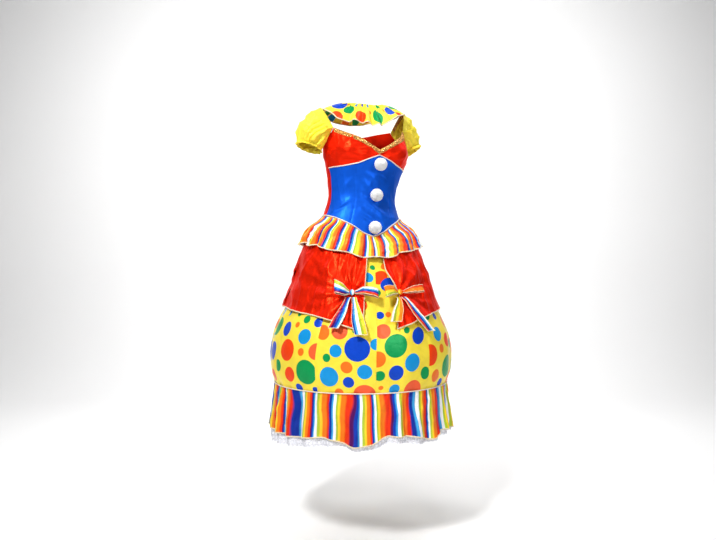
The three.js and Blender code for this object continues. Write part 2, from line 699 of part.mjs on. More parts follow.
for (const { name, sign } of SIDES) {
  // The loop runs the other way round on the right, so that the outer face stays outside.
  const surface = (u, v) => sleevePoint(sign, sign > 0 ? u : -u, 1 - v);
  const rows = [0, 1 - PUFF_END, 0.36, 0.68, 1 - TRIM_DOWN, 1];
  add(`sleeve_${name}`, wall(surface, ringColumns(SLEEVE_COLUMNS), rows, { ring: true }), YELLOW);
}

// The dotted neck ruffle. It rests on the shoulder edges of the sleeves and hangs lowest in front,
// towards its right.
const COLLAR = [
  { angle: -180, neck: 60, neckZ: 26, edge: 124, edgeZ: -36, wave: 8 },
  { angle: -135, neck: 62, neckZ: 22, edge: 135, edgeZ: -33, wave: 8 },
  { angle: -105, neck: 64, neckZ: 15, edge: 160, edgeZ: -27, wave: 4 },
  { angle: -90, neck: 64, neckZ: 13, edge: 168, edgeZ: -16.5, wave: 2 },
  { angle: -75, neck: 63, neckZ: 12, edge: 161, edgeZ: -32, wave: 4 },
  { angle: -60, neck: 61, neckZ: 10, edge: 143, edgeZ: -64, wave: 11 },
  { angle: -38, neck: 58, neckZ: 7, edge: 126, edgeZ: -68, wave: 14 },
  { angle: 0, neck: 57, neckZ: 4, edge: 114, edgeZ: -78, wave: 14 },
  { angle: 20, neck: 57, neckZ: 5, edge: 117, edgeZ: -66, wave: 11 },
  { angle: 45, neck: 59, neckZ: 8, edge: 130, edgeZ: -44, wave: 8 },
  { angle: 75, neck: 63, neckZ: 12, edge: 160, edgeZ: -28, wave: 4 },
  { angle: 90, neck: 64, neckZ: 13, edge: 168, edgeZ: -17, wave: 2 },
  { angle: 105, neck: 64, neckZ: 15, edge: 160, edgeZ: -27, wave: 4 },
  { angle: 135, neck: 62, neckZ: 22, edge: 135, edgeZ: -33, wave: 8 },
  { angle: 180, neck: 60, neckZ: 26, edge: 124, edgeZ: -36, wave: 8 },
];
const collar = curves(COLLAR, "angle", ["neck", "neckZ", "edge", "edgeZ", "wave"]);
const collarWave = (angle) =>
  Math.cos(radians(angle * COLLAR_WAVES + 30 * Math.sin(radians(angle * 3 + 50))));
function collarPoint(angle, t) {
  const round = ((angle + 540) % 360) - 180;
  const arch = Math.sin(Math.PI * t) * 5;
  const radius = mix(collar.neck(round), collar.edge(round), t) + arch * 0.5;
  const wave = mix(1.2, collar.wave(round), t) * collarWave(angle);
  const z = mix(collar.neckZ(round), collar.edgeZ(round), t) + arch + wave * 0.8;
  const a = radians(angle);
  const out = radius + wave * 0.5;
  return stand(out * Math.sin(a), out * Math.cos(a), z, SLEEVE_LEVEL);
}
add(
  "collar",
  wall((u, v) => collarPoint(u * 360, 1 - v), ringColumns(88), [0, 0.5, 1], { ring: true }),
  DOTTED,
);

// Trims: gold braid along the neckline and the shoulder edges, and satin piping on the seams. Each
// is a band on its panel's own columns, moved out.
const BRAID = { width: TRIM_WIDTH, thick: 2.4, over: 0.9 };
const PIPING = { width: PIPING_WIDTH, thick: 1.8, over: 0.6 };
function band(name, surface, columns, size, material) {
  const outer = movedOut(surface, size.thick + size.over);
  add(name, wall(outer, columns, [0, 1], { thick: size.thick }), material);
}
function braidOnBodice(name, angles, top) {
  const first = Math.min(...angles);
  const last = Math.max(...angles);
  const surface = (u, v) => {
    const angle = mix(first, last, u);
    return bodicePoint(angle, top(angle) + 1 + (v - 1) * BRAID.width);
  };
  band(name, surface, columnsAt(angles, first, last), BRAID, GOLD);
}
const between = (angles, low, high) => angles.filter((angle) => angle > low && angle < high);
for (const { name, sign } of SIDES) {
  const start = seamAngle(120);
  const angles = [start, ...between(CUP_COLUMNS, start, NECK_CORNER), NECK_CORNER - 1.5];
  braidOnBodice(`braid_front_${name}`, angles.map((angle) => sign * angle), neckline);
}
for (const { name, sign } of SIDES) {
  const end = 180 - zipHalfAngle;
  const angles = [BACK_CORNER + 1.2, ...between(BACK_COLUMNS, BACK_CORNER, end), end];
  braidOnBodice(`braid_back_${name}`, angles.map((angle) => sign * angle), backTop);
}
for (const { name, sign } of SIDES) {
  // On the shoulder the braid lies on the sleeve's top edge, over the sleeve's own columns.
  const loops = between(ringColumns(SLEEVE_COLUMNS), LOOP_SPLIT + 0.01, 1);
  const [first, last] = [loops[0], loops[loops.length - 1]];
  const surface = (u, v) => {
    const loop = mix(first, last, sign > 0 ? u : 1 - u);
    return sleevePoint(sign, loop, TRIM_DOWN * (1 - v));
  };
  band(`braid_shoulder_${name}`, surface, spread(loops.length - 1), BRAID, GOLD);
}
const underbustAngles = [...SIDE_COLUMNS, ...between(CUP_COLUMNS, 0, PRINCESS)];
const bothSides = (angles) => [...angles.map((angle) => -angle), 0, ...angles];
const pipingUnderbust = (u, v) => {
  const angle = mix(-SIDE_SEAM, SIDE_SEAM, u);
  return bodicePoint(angle, underbust(angle) + (v - 0.5) * PIPING.width);
};
const underbustColumns = columnsAt(bothSides(underbustAngles), -SIDE_SEAM, SIDE_SEAM);
band("piping_underbust", pipingUnderbust, underbustColumns, PIPING, WHITE);
function pipingRing(name, surface, columns, thick) {
  const outer = movedOut((u, v) => surface(u * 360, v * PIPING.width), thick + PIPING.over);
  add(name, wall(outer, ringColumns(columns), [0, 1], { thick, ring: true }), WHITE);
}
// The waist piping lies on the bodice just above the seam and is as proud as the layers below it.
pipingRing("piping_waist", (angle, up) => bodicePoint(angle, waist(angle) + 0.6 + up), 40, 3.2);
pipingRing(
  "piping_bubble",
  (angle, up) => skirtPoint(angle, BUBBLE_SEAM, 1.2).setZ(BUBBLE_SEAM - PIPING.width / 2 + up),
  60,
  PIPING.thick,
);

// Bows: each has two loops, a knot and two tails of striped ribbon on the overskirt's edge.
const KNOT = { wide: 8, tall: 10, deep: 7 };
// Directions at a bow: right along the skirt, up, and out of it.
function bowFrame(sign) {
  const at = overskirtPoint(sign * BOW.angle, BOW.z);
  const right = overskirtPoint(sign * BOW.angle + 5, BOW.z)
    .sub(overskirtPoint(sign * BOW.angle - 5, BOW.z)).normalize();
  const slope = skirtPoint(sign * BOW.angle, BOW.z + 20, 0)
    .sub(skirtPoint(sign * BOW.angle, BOW.z - 20, 0)).normalize();
  const out = right.clone().cross(slope).normalize();
  const up = out.clone().cross(right).normalize();
  return { at, right, up, out };
}
// How far the overskirt stands out of a bow's own plane within a distance of the knot.
function standOut(frame, sign, reach) {
  let most = -Infinity;
  for (let across = -reach; across <= reach; across += reach / 6)
    for (let rise = -reach; rise <= reach; rise += reach / 6) {
      const angle = sign * BOW.angle + (across / skirt.side(BOW.z)) * (180 / Math.PI);
      const point = overskirtPoint(angle, BOW.z + rise);
      most = Math.max(most, point.sub(frame.at).dot(frame.out));
    }
  return most;
}
// A loop's path from the knot and back to it, as shares of its reach and its width.
const BOW_LOOP = [
  { s: 0, reach: 0, out: 3, width: 0.3 },
  { s: 0.2, reach: 0.43, out: 15, width: 0.78 },
  { s: 0.42, reach: 0.89, out: 18, width: 0.98 },
  { s: 0.5, reach: 1, out: 12, width: 1 },
  { s: 0.58, reach: 0.9, out: 6, width: 0.98 },
  { s: 0.8, reach: 0.43, out: 3.5, width: 0.78 },
  { s: 1, reach: 0, out: -1, width: 0.3 },
];
const loopShape = curves(BOW_LOOP, "s", ["reach", "out", "width"]);
// The inner loops lie towards the opening and the outer ones towards the side seams.
const LOOPS = [
  { bow: -1, name: "inner", reach: 80, width: 37, rise: -13 },
  { bow: -1, name: "outer", reach: 58, width: 50, rise: 12 },
  { bow: 1, name: "inner", reach: 67, width: 41, rise: -6 },
  { bow: 1, name: "outer", reach: 74, width: 30, rise: 3 },
];
const TAIL = { start: 12, apart: 9, topWidth: 14, off: 1.2 };
// How far each tail's end drifts sideways from the knot, to the dress's left if positive, and how
// far its top lies off the overskirt.
const TAILS = [
  { bow: -1, name: "inner", drift: 36, length: 116, width: 46, off: 0.5 },
  { bow: -1, name: "outer", drift: -32, length: 96, width: 38, off: 0.5 },
  { bow: 1, name: "inner", drift: -28, length: 76, width: 42, off: -0.2 },
  { bow: 1, name: "outer", drift: 84, length: 112, width: 44, off: 0.7 },
];
for (const { name, sign } of SIDES) {
  const frame = bowFrame(sign);
  const base = standOut(frame, sign, 7) + 2 * SEAM_GAP + KNOT.deep;
  const place = (right, up, out) =>
    frame.at.clone().addScaledVector(frame.right, right)
      .addScaledVector(frame.up, up).addScaledVector(frame.out, out);
  const turned = new THREE.Matrix4().makeBasis(frame.right, frame.up, frame.out)
    .setPosition(place(0, 0, base));
  const knot = new THREE.SphereGeometry(1, 10, 6).scale(KNOT.wide, KNOT.tall, KNOT.deep);
  for (const attribute of ["normal", "uv"]) knot.deleteAttribute(attribute);
  add(`bow_${name}_knot`, mergeVertices(knot, 1e-3).applyMatrix4(turned), STRIPED);
  const clear = standOut(frame, sign, 60) + CLOTH + 1;
  for (const loop of LOOPS.filter(({ bow }) => bow === sign)) {
    const way = loop.name === "inner" ? -sign : sign;
    const surface = (u, v) => {
      const s = way > 0 ? u : 1 - u;
      const share = loopShape.reach(s);
      const far = mix(KNOT.wide + 1, loop.reach, share);
      const lift = mix(base, Math.max(base, clear + 2), smooth((far - 9) / 30));
      const up = (v - 0.5) * loop.width * loopShape.width(s) + loop.rise * share * share;
      return place(way * far, up, lift + loopShape.out(s));
    };
    add(`bow_${name}_loop_${loop.name}`, wall(surface, spread(10), [0, 0.5, 1]), STRIPED);
  }
  for (const tail of TAILS.filter(({ bow }) => bow === sign)) {
    const surface = (u, v) => {
      const down = 1 - v;
      const width = mix(TAIL.topWidth, tail.width, smooth(down * 1.4));
      const drifted = tail.drift * down * mix(0.8, 1, down) + Math.sign(tail.drift) * TAIL.apart;
      const z = BOW.z - TAIL.start - tail.length * down;
      const across = drifted + (u - 0.5) * width;
      const angle = sign * BOW.angle + (across / skirt.side(z)) * (180 / Math.PI);
      const flutter = 3 * down * (1 + Math.cos(2 * Math.PI * u));
      const extra = LAYER + mix(tail.off, TAIL.off, down) + flutter;
      return overskirtPoint(angle, z, { extra, height: "crest" });
    };
    add(`bow_${name}_tail_${tail.name}`, wall(surface, spread(3), spread(6)), STRIPED);
  }
}

// Three white pompoms sewn down the centre front: a ball of wool locks round a small core.
const POMPOMS = [
  { z: -211, off: -0.4 },
  { z: -320, off: 0.6 },
  { z: -438, off: 0.4 },
];
function pompom() {
  const core = POMPOM_RADIUS * 0.72;
  const base = new THREE.IcosahedronGeometry(core, 1);
  for (const attribute of ["normal", "uv"]) base.deleteAttribute(attribute);
  const ball = mergeVertices(base, 1e-3);
  const at = (i) => new THREE.Vector3().fromBufferAttribute(ball.attributes.position, i);
  const points = [...Array(ball.attributes.position.count).keys()].map(at);
  const faces = [];
  for (let i = 0; i < ball.index.count; i += 3) {
    const corner = [0, 1, 2].map((k) => ball.index.getX(i + k));
    const middle = corner.reduce((sum, k) => sum.add(at(k)), new THREE.Vector3()).normalize();
    if (middle.y > 0.45) {
      faces.push(...corner);
      continue;
    }
    const tip = points.push(middle.multiplyScalar(POMPOM_RADIUS)) - 1;
    for (let k = 0; k < 3; k++) faces.push(corner[k], corner[(k + 1) % 3], tip);
  }
  const geometry = new THREE.BufferGeometry();
  geometry.setAttribute(
    "position",
    new THREE.Float32BufferAttribute(points.flatMap((p) => p.toArray()), 3),
  );
  geometry.setIndex(faces);
  return { geometry, core };
}
POMPOMS.forEach(({ z, off }, i) => {
  const foot = bodicePoint(0, z);
  const left = stand(1, 0, z).sub(stand(0, 0, z));
  const up = bodicePoint(0, z + 5).sub(bodicePoint(0, z - 5)).normalize();
  const back = up.clone().cross(left).normalize();
  const { geometry, core } = pompom();
  const centre = foot.addScaledVector(back, -core - off);
  const turned = new THREE.Matrix4().makeBasis(left, back, up).setPosition(centre);
  add(`pompom_${i + 1}`, geometry.applyMatrix4(turned), WHITE);
});

export default dress;
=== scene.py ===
import math

import bpy
import numpy as np
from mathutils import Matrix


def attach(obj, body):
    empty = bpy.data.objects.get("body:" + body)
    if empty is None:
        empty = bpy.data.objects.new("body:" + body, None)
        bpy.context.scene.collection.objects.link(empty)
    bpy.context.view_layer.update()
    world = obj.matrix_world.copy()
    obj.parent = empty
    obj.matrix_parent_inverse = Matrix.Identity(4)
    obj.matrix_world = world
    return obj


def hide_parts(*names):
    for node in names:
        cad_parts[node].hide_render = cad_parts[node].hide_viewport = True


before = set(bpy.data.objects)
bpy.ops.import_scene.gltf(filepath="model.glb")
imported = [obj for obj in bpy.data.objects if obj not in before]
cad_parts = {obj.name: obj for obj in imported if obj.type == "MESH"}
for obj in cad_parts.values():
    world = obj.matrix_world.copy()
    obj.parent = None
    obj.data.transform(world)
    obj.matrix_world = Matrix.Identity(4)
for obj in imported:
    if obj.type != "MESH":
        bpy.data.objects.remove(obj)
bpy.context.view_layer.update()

# Camera. It stands level with the hips, 2.5 m away and 17 degrees round to the dress's right.
CAMERA_TURN = math.radians(-17)
CAMERA_FAR = 2.5
camera_data = bpy.data.cameras.new("camera")
camera_data.lens = 34.9
camera_data.sensor_width = 36
camera_data.shift_x = -0.0042
camera = bpy.data.objects.new("camera", camera_data)
camera.location = (
    CAMERA_FAR * math.sin(CAMERA_TURN),
    -CAMERA_FAR * math.cos(CAMERA_TURN),
    -0.58,
)
camera.rotation_euler = (math.radians(90), 0, CAMERA_TURN)
bpy.context.scene.collection.objects.link(camera)
bpy.context.scene.camera = camera

# Bust cups: two fitted cups of red polyester satin, sewn together down a short centre seam and
# gathered a little into it, with the neckline along their top and the midriff along their foot.
# Sizes in the tables are in millimetres and angles in degrees round the body: 0 at the front,
# 90 at the left side. Each piece is worked out as rows and columns of points on its outer face.


def curve(rows, column, by=0):
    """A smooth curve through one column of a table against another, with no overshoot."""
    rows = sorted(rows, key=lambda row: row[by])
    at = np.array([row[by] for row in rows], float)
    value = np.array([row[column] for row in rows], float)
    rise = np.diff(value) / np.diff(at)
    slope = np.concatenate([rise[:1], np.zeros(len(rise) - 1), rise[-1:]])
    for i in range(1, len(rise)):
        if rise[i - 1] * rise[i] > 0:
            slope[i] = 2 * rise[i - 1] * rise[i] / (rise[i - 1] + rise[i])

    def smooth_value(x):
        x = np.clip(np.asarray(x, float), at[0], at[-1])
        i = np.clip(np.searchsorted(at, x, "right") - 1, 0, len(rise) - 1)
        width = at[i + 1] - at[i]
        s = (x - at[i]) / width
        rest = 1 - s
        return (
            value[i] * rest**2 * (1 + 2 * s)
            + slope[i] * width * s * rest**2
            + value[i + 1] * s**2 * (3 - 2 * s)
            - slope[i + 1] * width * s**2 * rest
        )

    return smooth_value


def mix(a, b, share):
    return a + (b - a) * share


def smooth(x):
    x = np.clip(x, 0, 1)
    return x**2 * (3 - 2 * x)


def bump(x, width):
    return np.exp(-((x / width) ** 2))


# Columns: height, how far that level is moved to the left and back, and how far it is turned.
POSE = [
    (40, 8, 2, 7),
    (-100, 14, 1, 9),
    (-170, 16, 0, 9),
    (-330, 3, 2, 11),
    (-400, 0, 0, 7),
    (-470, 0, 0, 3),
    (-540, -1, 0, -2),
    (-656, 0, 0, -5),
    (-780, 0, 0, -7),
    (-880, 0, 0, -8),
    (-1200, 0, 0, -8),
]
pose_x, pose_y, pose_turn = curve(POSE, 1), curve(POSE, 2), curve(POSE, 3)
SHRUG_UP, SHRUG_INWARD = 13, 12  # the left shoulder is drawn up and in


def stand(left, front, z, level=None):
    """Places that lie so far to the left and to the front, at the dress's stance."""
    level = z if level is None else level
    turn = np.radians(pose_turn(level))
    shrug = smooth(left / 150) * smooth((z + 150) / 100)
    across = left - SHRUG_INWARD * shrug
    x = pose_x(level) + across * np.cos(turn) + front * np.sin(turn)
    y = pose_y(level) + across * np.sin(turn) - front * np.cos(turn)
    return np.stack(np.broadcast_arrays(x, y, z + SHRUG_UP * shrug), -1)


# Columns: height, half-width, depth to the front and to the back, and how far each cup stands out.
BODICE = [
    (-30, 150, 74, 88, 0),
    (-86, 155, 94, 98, 2),
    (-125, 159, 105, 102, 12),
    (-165, 160, 109, 102, 20),
    (-200, 153, 107, 98, 13),
    (-222, 147, 104, 96, 5),
    (-260, 136, 98, 91, 0),
    (-320, 128, 93, 88, 0),
    (-360, 133, 97, 95, 0),
    (-400, 147, 106, 110, 0),
    (-475, 172, 122, 136, 0),
    (-560, 200, 142, 162, 0),
]
bodice_side, bodice_front = curve(BODICE, 1), curve(BODICE, 2)
bodice_rear, bodice_cup = curve(BODICE, 3), curve(BODICE, 4)
CUP_ANGLE, CUP_SPREAD = 34, 24  # where each cup is fullest, and how far it spreads
SEAM_GAP = 0.3  # between two edges that are sewn together
CLOTH_THICK = 0.6  # of the satin, as it shows at an edge
SHARP_EDGE = 60  # a fold sharper than this isn't shaded as a soft one
SIDE_SEAM, NECK_CORNER, BACK_CORNER = 83, 64, 116


def bodice_oval(z, angle):
    a = np.radians(angle)
    depth = np.where(np.cos(a) > 0, bodice_front(z), bodice_rear(z))
    return bodice_side(z) * np.sin(a), depth * np.cos(a)


def bodice_point(angle, z):
    left, front = bodice_oval(z, angle)
    cup = bump(angle - CUP_ANGLE, CUP_SPREAD) + bump(angle + CUP_ANGLE, CUP_SPREAD)
    cup = cup * bodice_cup(z)
    a = np.radians(angle)
    return stand(left + cup * np.sin(a), front + cup * np.cos(a), z)


def round_angle(angle):
    """The angle from the front, the same to either side."""
    return np.abs((angle + 540) % 360 - 180)


def both_sides(rows):
    line = curve(rows, 1)
    return lambda angle: line(round_angle(angle))


neckline = both_sides([(0, -164), (12, -146), (24, -126), (45, -104), (64, -86)])
armhole = both_sides(
    [(64, -86), (74, -113), (83, -132), (91, -138), (99, -130), (108, -106), (116, -78)]
)
underbust = both_sides([(0, -182), (12, -194), (31, -213), (55, -221), (83, -223)])


def seam_angle(radius, gap=SEAM_GAP):
    return math.degrees(gap / 2 / radius)


def directions(points, ring=False):
    """The outward direction at each point of a piece's outer face."""
    if ring:
        wide = np.concatenate([points[:, -2:-1], points, points[:, 1:2]], 1)
        along = (wide[:, 2:] - wide[:, :-2]) / 2
    else:
        along = np.gradient(points, axis=1)
    up = np.gradient(points, axis=0)
    out = np.cross(along, up)
    return out / np.maximum(np.linalg.norm(out, axis=-1, keepdims=True), 1e-9)


def raised(points, height, ring=False):
    """The points moved out of the cloth by a height, or inward where it is below 0."""
    return points + directions(points, ring) * height[..., None]


def creases(across, up, lines):
    """Soft ridges, or troughs where the depth is below 0, each along a given line."""
    height = np.zeros(np.broadcast(across, up).shape)
    for x0, y0, x1, y1, width, depth in lines:
        run, climb = x1 - x0, y1 - y0
        far = run**2 + climb**2
        share = ((across - x0) * run + (up - y0) * climb) / far
        off = ((across - x0) * climb - (up - y0) * run) / math.sqrt(far)
        fade = smooth(share / 0.35) * smooth((1 - share) / 0.35)
        height += depth * fade * np.exp(-((off / width) ** 2))
    return height


def unevenness(across, up, seed, size, height):
    """Slow random rises and falls, as soft cloth has."""
    draw = np.random.default_rng(seed)
    total = 0
    for _ in range(6):
        turn = draw.uniform(0, math.pi)
        length = size * draw.uniform(0.7, 1.8)
        phase = draw.uniform(0, 2 * math.pi)
        along = across * math.cos(turn) + up * math.sin(turn)
        total = total + np.sin(2 * math.pi * along / length + phase)
    return height * total / 3


def crumples(across, up, seed, size, height):
    """Short sharp ridges in all directions with soft hollows between, as in crushed satin."""
    draw = np.random.default_rng(seed)
    total = 0
    for _ in range(5):
        turn = draw.uniform(0, math.pi)
        length = size * draw.uniform(0.7, 1.6)
        phase = draw.uniform(0, 2 * math.pi)
        along = across * math.cos(turn) + up * math.sin(turn)
        aside = up * math.cos(turn) - across * math.sin(turn)
        bend = 0.9 * np.sin(aside / length * 1.7 + 2 * phase)
        fade = 0.5 + 0.5 * np.sin(aside / length * 1.1 + phase * 3)
        total = total + fade * (1 - np.abs(np.sin(math.pi * along / length + phase + bend))) ** 2
    return height * (total / 1.2 - 0.7)


def grid(columns, rows, first=0.0, last=1.0):
    """Column shares from 0 to 1, and row shares between two values, as a row and a column."""
    u = np.linspace(0, 1, columns + 1)[None, :]
    v = np.linspace(first, last, rows + 1)[:, None]
    return u, v


def lay_flat(points):
    """Each point's place on the cut cloth in metres, from the lengths of its rows and columns."""
    across = np.linalg.norm(np.diff(points, axis=1), axis=-1)
    across = np.concatenate([np.zeros((len(points), 1)), np.cumsum(across, 1)], 1)
    across = across - across[:, across.shape[1] // 2 : across.shape[1] // 2 + 1]
    up = np.linalg.norm(np.diff(points, axis=0), axis=-1)
    up = np.concatenate([np.zeros((1, points.shape[1])), np.cumsum(up, 0)], 0)
    return np.stack([across, up], -1) / 1000


def mesh_object(name, points, faces, smooth_faces=True):
    """An object in the scene, from points in millimetres and faces."""
    mesh = bpy.data.meshes.new(name)
    mesh.from_pydata(points / 1000, [], faces)
    if smooth_faces:
        mesh.polygons.foreach_set("use_smooth", np.ones(len(faces), bool))
    made = bpy.data.objects.new(name, mesh)
    bpy.context.scene.collection.objects.link(made)
    return made


def cloth_piece(name, points, flat=None, thick=CLOTH_THICK, ring=False):
    """A piece of cloth as a thin closed shell. The last column of a ring lies on its first."""
    flat = lay_flat(points) if flat is None else flat
    inner = points - directions(points, ring) * thick
    rows, columns = points.shape[:2]
    width = columns - 1 if ring else columns
    outer = points[:, :width].reshape(-1, 3)
    inner = inner[:, :width].reshape(-1, 3)
    j, i = np.mgrid[0 : rows - 1, 0 : columns - 1].reshape(2, -1)
    corners = [(j, i), (j, i + 1), (j + 1, i + 1), (j + 1, i)]
    face = [(row, column, 0) for row, column in corners]
    quads = [face, [(row, column, 1) for row, column, _ in face[::-1]]]
    i, j = np.arange(columns - 1), np.arange(rows - 1)
    low, top = 0 * i, 0 * i + rows - 1
    quads.append([(low, i, 0), (low, i, 1), (low, i + 1, 1), (low, i + 1, 0)])
    quads.append([(top, i, 0), (top, i + 1, 0), (top, i + 1, 1), (top, i, 1)])
    if not ring:
        first, last = 0 * j, 0 * j + columns - 1
        quads.append([(j, first, 0), (j + 1, first, 0), (j + 1, first, 1), (j, first, 1)])
        quads.append([(j, last, 0), (j, last, 1), (j + 1, last, 1), (j + 1, last, 0)])
    faces, places = [], []
    for quad in quads:
        side = [
            row * width + column % width + layer * len(outer) for row, column, layer in quad
        ]
        faces.append(np.stack(side, -1))
        places.append(np.stack([flat[row, column] for row, column, _ in quad], 1))
    faces = np.concatenate(faces)
    places = np.concatenate(places)
    piece = mesh_object(name, np.concatenate([outer, inner]), faces.tolist())
    flat_places = piece.data.uv_layers.new(name="flat")
    flat_places.data.foreach_set("uv", places.astype(np.float32).ravel())
    piece.data.set_sharp_from_angle(angle=math.radians(SHARP_EDGE))
    return piece


def shader_group(name, inputs, outputs):
    """A node group with named inputs, each with its first value, and named outputs."""
    kinds = {"Color": "NodeSocketColor", "Vector": "NodeSocketVector"}
    group = bpy.data.node_groups.new(name, "ShaderNodeTree")
    for socket, kind, value in inputs:
        made = group.interface.new_socket(
            socket, in_out="INPUT", socket_type=kinds.get(kind, "NodeSocketFloat")
        )
        if value is not None:
            made.default_value = value
    for socket, kind in outputs:
        group.interface.new_socket(
            socket, in_out="OUTPUT", socket_type=kinds.get(kind, "NodeSocketFloat")
        )
    return group, group.nodes.new("NodeGroupInput"), group.nodes.new("NodeGroupOutput")


def node(tree, kind, links=None, **settings):
    """A shader node with its settings, and its inputs linked or set."""
    made = tree.nodes.new(kind)
    for setting, value in settings.items():
        setattr(made, setting, value)
    for socket, value in (links or {}).items():
        if isinstance(value, bpy.types.NodeSocket):
            tree.links.new(value, made.inputs[socket])
        else:
            made.inputs[socket].default_value = value
    return made


def new_material(name, values):
    """A material with plain values in its shader, and its node tree and shader."""
    material = bpy.data.materials.new(name)
    material.use_nodes = True
    tree = material.node_tree
    shader = tree.nodes["Principled BSDF"]
    for socket, value in values.items():
        shader.inputs[socket].default_value = value
    return material, tree, shader


def relief(tree, shader, height, strength, depth):
    """Fine relief on a material, from a height that changes over its surface."""
    lifted = node(
        tree, "ShaderNodeBump", {"Height": height, "Strength": strength, "Distance": depth}
    )
    tree.links.new(lifted.outputs["Normal"], shader.inputs["Normal"])


def fine_noise(tree, scale, detail, distortion=0.0):
    place = node(tree, "ShaderNodeTexCoord")
    return node(
        tree,
        "ShaderNodeTexNoise",
        {
            "Vector": place.outputs["Object"],
            "Scale": scale,
            "Detail": detail,
            "Distortion": distortion,
        },
    )


def maths(tree, operation, *values):
    """The result of a sum on numbers, or on values that change over a surface."""
    return node(
        tree, "ShaderNodeMath", dict(enumerate(values)), operation=operation
    ).outputs[0]


# The look of worn satin: tone that drifts a little, soft crush marks and a fine thread.
satin_wear, satin_in, satin_out = shader_group(
    "satin_wear",
    [
        ("Color", "Color", (0.5, 0.5, 0.5, 1)),
        ("Drift", "Float", 0.12),
        ("Crush", "Float", 1.0),
        ("Roughness", "Float", 0.32),
    ],
    [("Color", "Color"), ("Roughness", "Float"), ("Height", "Float")],
)
slow = fine_noise(satin_wear, 17.0, 2.0, 0.7)
crush = fine_noise(satin_wear, 62.0, 3.0, 1.1)
flat_place = node(satin_wear, "ShaderNodeUVMap", uv_map="flat")
thread_place = node(
    satin_wear,
    "ShaderNodeMapping",
    {"Vector": flat_place.outputs["UV"], "Scale": (3400.0, 420.0, 1.0)},
)
thread = node(
    satin_wear,
    "ShaderNodeTexNoise",
    {"Vector": thread_place.outputs["Vector"], "Scale": 1.0, "Detail": 1.0},
).outputs["Fac"]
tone = node(
    satin_wear,
    "ShaderNodeMapRange",
    {"Value": slow.outputs["Fac"], "From Min": 0.3, "From Max": 0.7, "To Min": -1.0, "To Max": 1.0},
)
tone = maths(
    satin_wear, "MULTIPLY_ADD", tone.outputs["Result"], satin_in.outputs["Drift"], 1.0
)
shade = node(
    satin_wear, "ShaderNodeHueSaturation", {"Color": satin_in.outputs["Color"], "Value": tone}
)
rougher = maths(satin_wear, "MULTIPLY_ADD", thread, 0.1, satin_in.outputs["Roughness"])
rise = maths(satin_wear, "MULTIPLY", crush.outputs["Fac"], satin_in.outputs["Crush"])
rise = maths(satin_wear, "MULTIPLY_ADD", thread, 0.03, rise)
satin_wear.links.new(shade.outputs["Color"], satin_out.inputs["Color"])
satin_wear.links.new(rougher, satin_out.inputs["Roughness"])
satin_wear.links.new(rise, satin_out.inputs["Height"])
SATIN_GLOSS = 0.16
CRUSH_STRENGTH = 0.5


def satin(
    name, color, drift=0.12, crush=1.0, roughness=0.28, depth=0.0026, tint=(1, 1, 1), silk=0.12
):
    """A satin material. color is a plain colour, or a function that makes a printed one. silk is
    the share of its shine that takes the cloth's own colour."""
    material, tree, shader = new_material(
        name,
        {"Metallic": silk, "Specular IOR Level": SATIN_GLOSS, "Specular Tint": (*tint, 1)},
    )
    wear = node(
        tree,
        "ShaderNodeGroup",
        {"Drift": drift, "Crush": crush, "Roughness": roughness},
        node_tree=satin_wear,
    )
    if callable(color):
        tree.links.new(color(tree), wear.inputs["Color"])
    else:
        wear.inputs["Color"].default_value = (*color, 1)
    tree.links.new(wear.outputs["Color"], shader.inputs["Base Color"])
    tree.links.new(wear.outputs["Roughness"], shader.inputs["Roughness"])
    relief(tree, shader, wear.outputs["Height"], CRUSH_STRENGTH, depth)
    return material


def dress_piece(piece, material, slot, *nodes, flat=None, area=None, held="gathered"):
    """Gives a cloth piece its material and its place in the dress, and hides the model's parts that
    it stands for.
    """
    piece.data.materials.append(material)
    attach(piece, "dress")
    if nodes:
        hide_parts(*nodes)
    return piece


red_satin = satin("red_satin", (0.86, 0.018, 0.003), tint=(1, 0.30, 0.15), silk=0.5)
CUP_ARC = 2.0  # millimetres round the cups for each degree
# Creases on the left cup. Columns: from and to, across and up, then width and depth.
CUP_CREASES = [
    (2, -172, 46, -150, 4, 1.3),
    (2, -176, 58, -168, 5, -1.2),
    (4, -164, 40, -136, 4, -1.0),
    (30, -196, 92, -176, 7, 0.9),
    (70, -206, 128, -168, 7, -1.0),
    (96, -190, 150, -140, 6, 1.1),
    (118, -206, 160, -168, 5, 1.1),
    (60, -112, 84, -150, 6, 0.8),
]


def side_name(sign):
    return "left" if sign > 0 else "right"


def side_range(sign, a, b):
    return (a, b) if sign > 0 else (-b, -a)


for sign in (1, -1):
    first, last = side_range(sign, 0, SIDE_SEAM)
    u, v = grid(70, 36)
    angle = mix(first, last, u)
    low = underbust(angle) + SEAM_GAP / 2
    top = np.where(
        round_angle(angle) <= NECK_CORNER, neckline(angle), armhole(angle) - SEAM_GAP
    )
    z = mix(low, top, v)
    across = np.abs(angle) * CUP_ARC
    height = 1.9 * creases(across, z, CUP_CREASES)
    height += unevenness(across, z, 11 + sign, 60, 0.5) * smooth(across / 20)
    height += crumples(across, z * 1.4, 13 + sign, 44, 1.7) * smooth(across / 20)
    # Small gathers run out of the centre seam.
    gathers = np.sin(z * 2 * math.pi / 9 + 0.4 * np.sin(z / 7))
    height += 0.7 * gathers * bump(across, 16) - 0.8 * bump(across, 2.2)
    height -= 0.8 * bump(across - CUP_ARC * SIDE_SEAM, 2.5)
    points = raised(bodice_point(angle, z), height)
    piece = cloth_piece(f"cup_{side_name(sign)}", points)
    dress_piece(
        piece,
        red_satin,
        "red_satin",
        f"bust_{side_name(sign)}",
        flat=(0.205, 0.135),
        area=0.0205,
        held="stretched",
    )

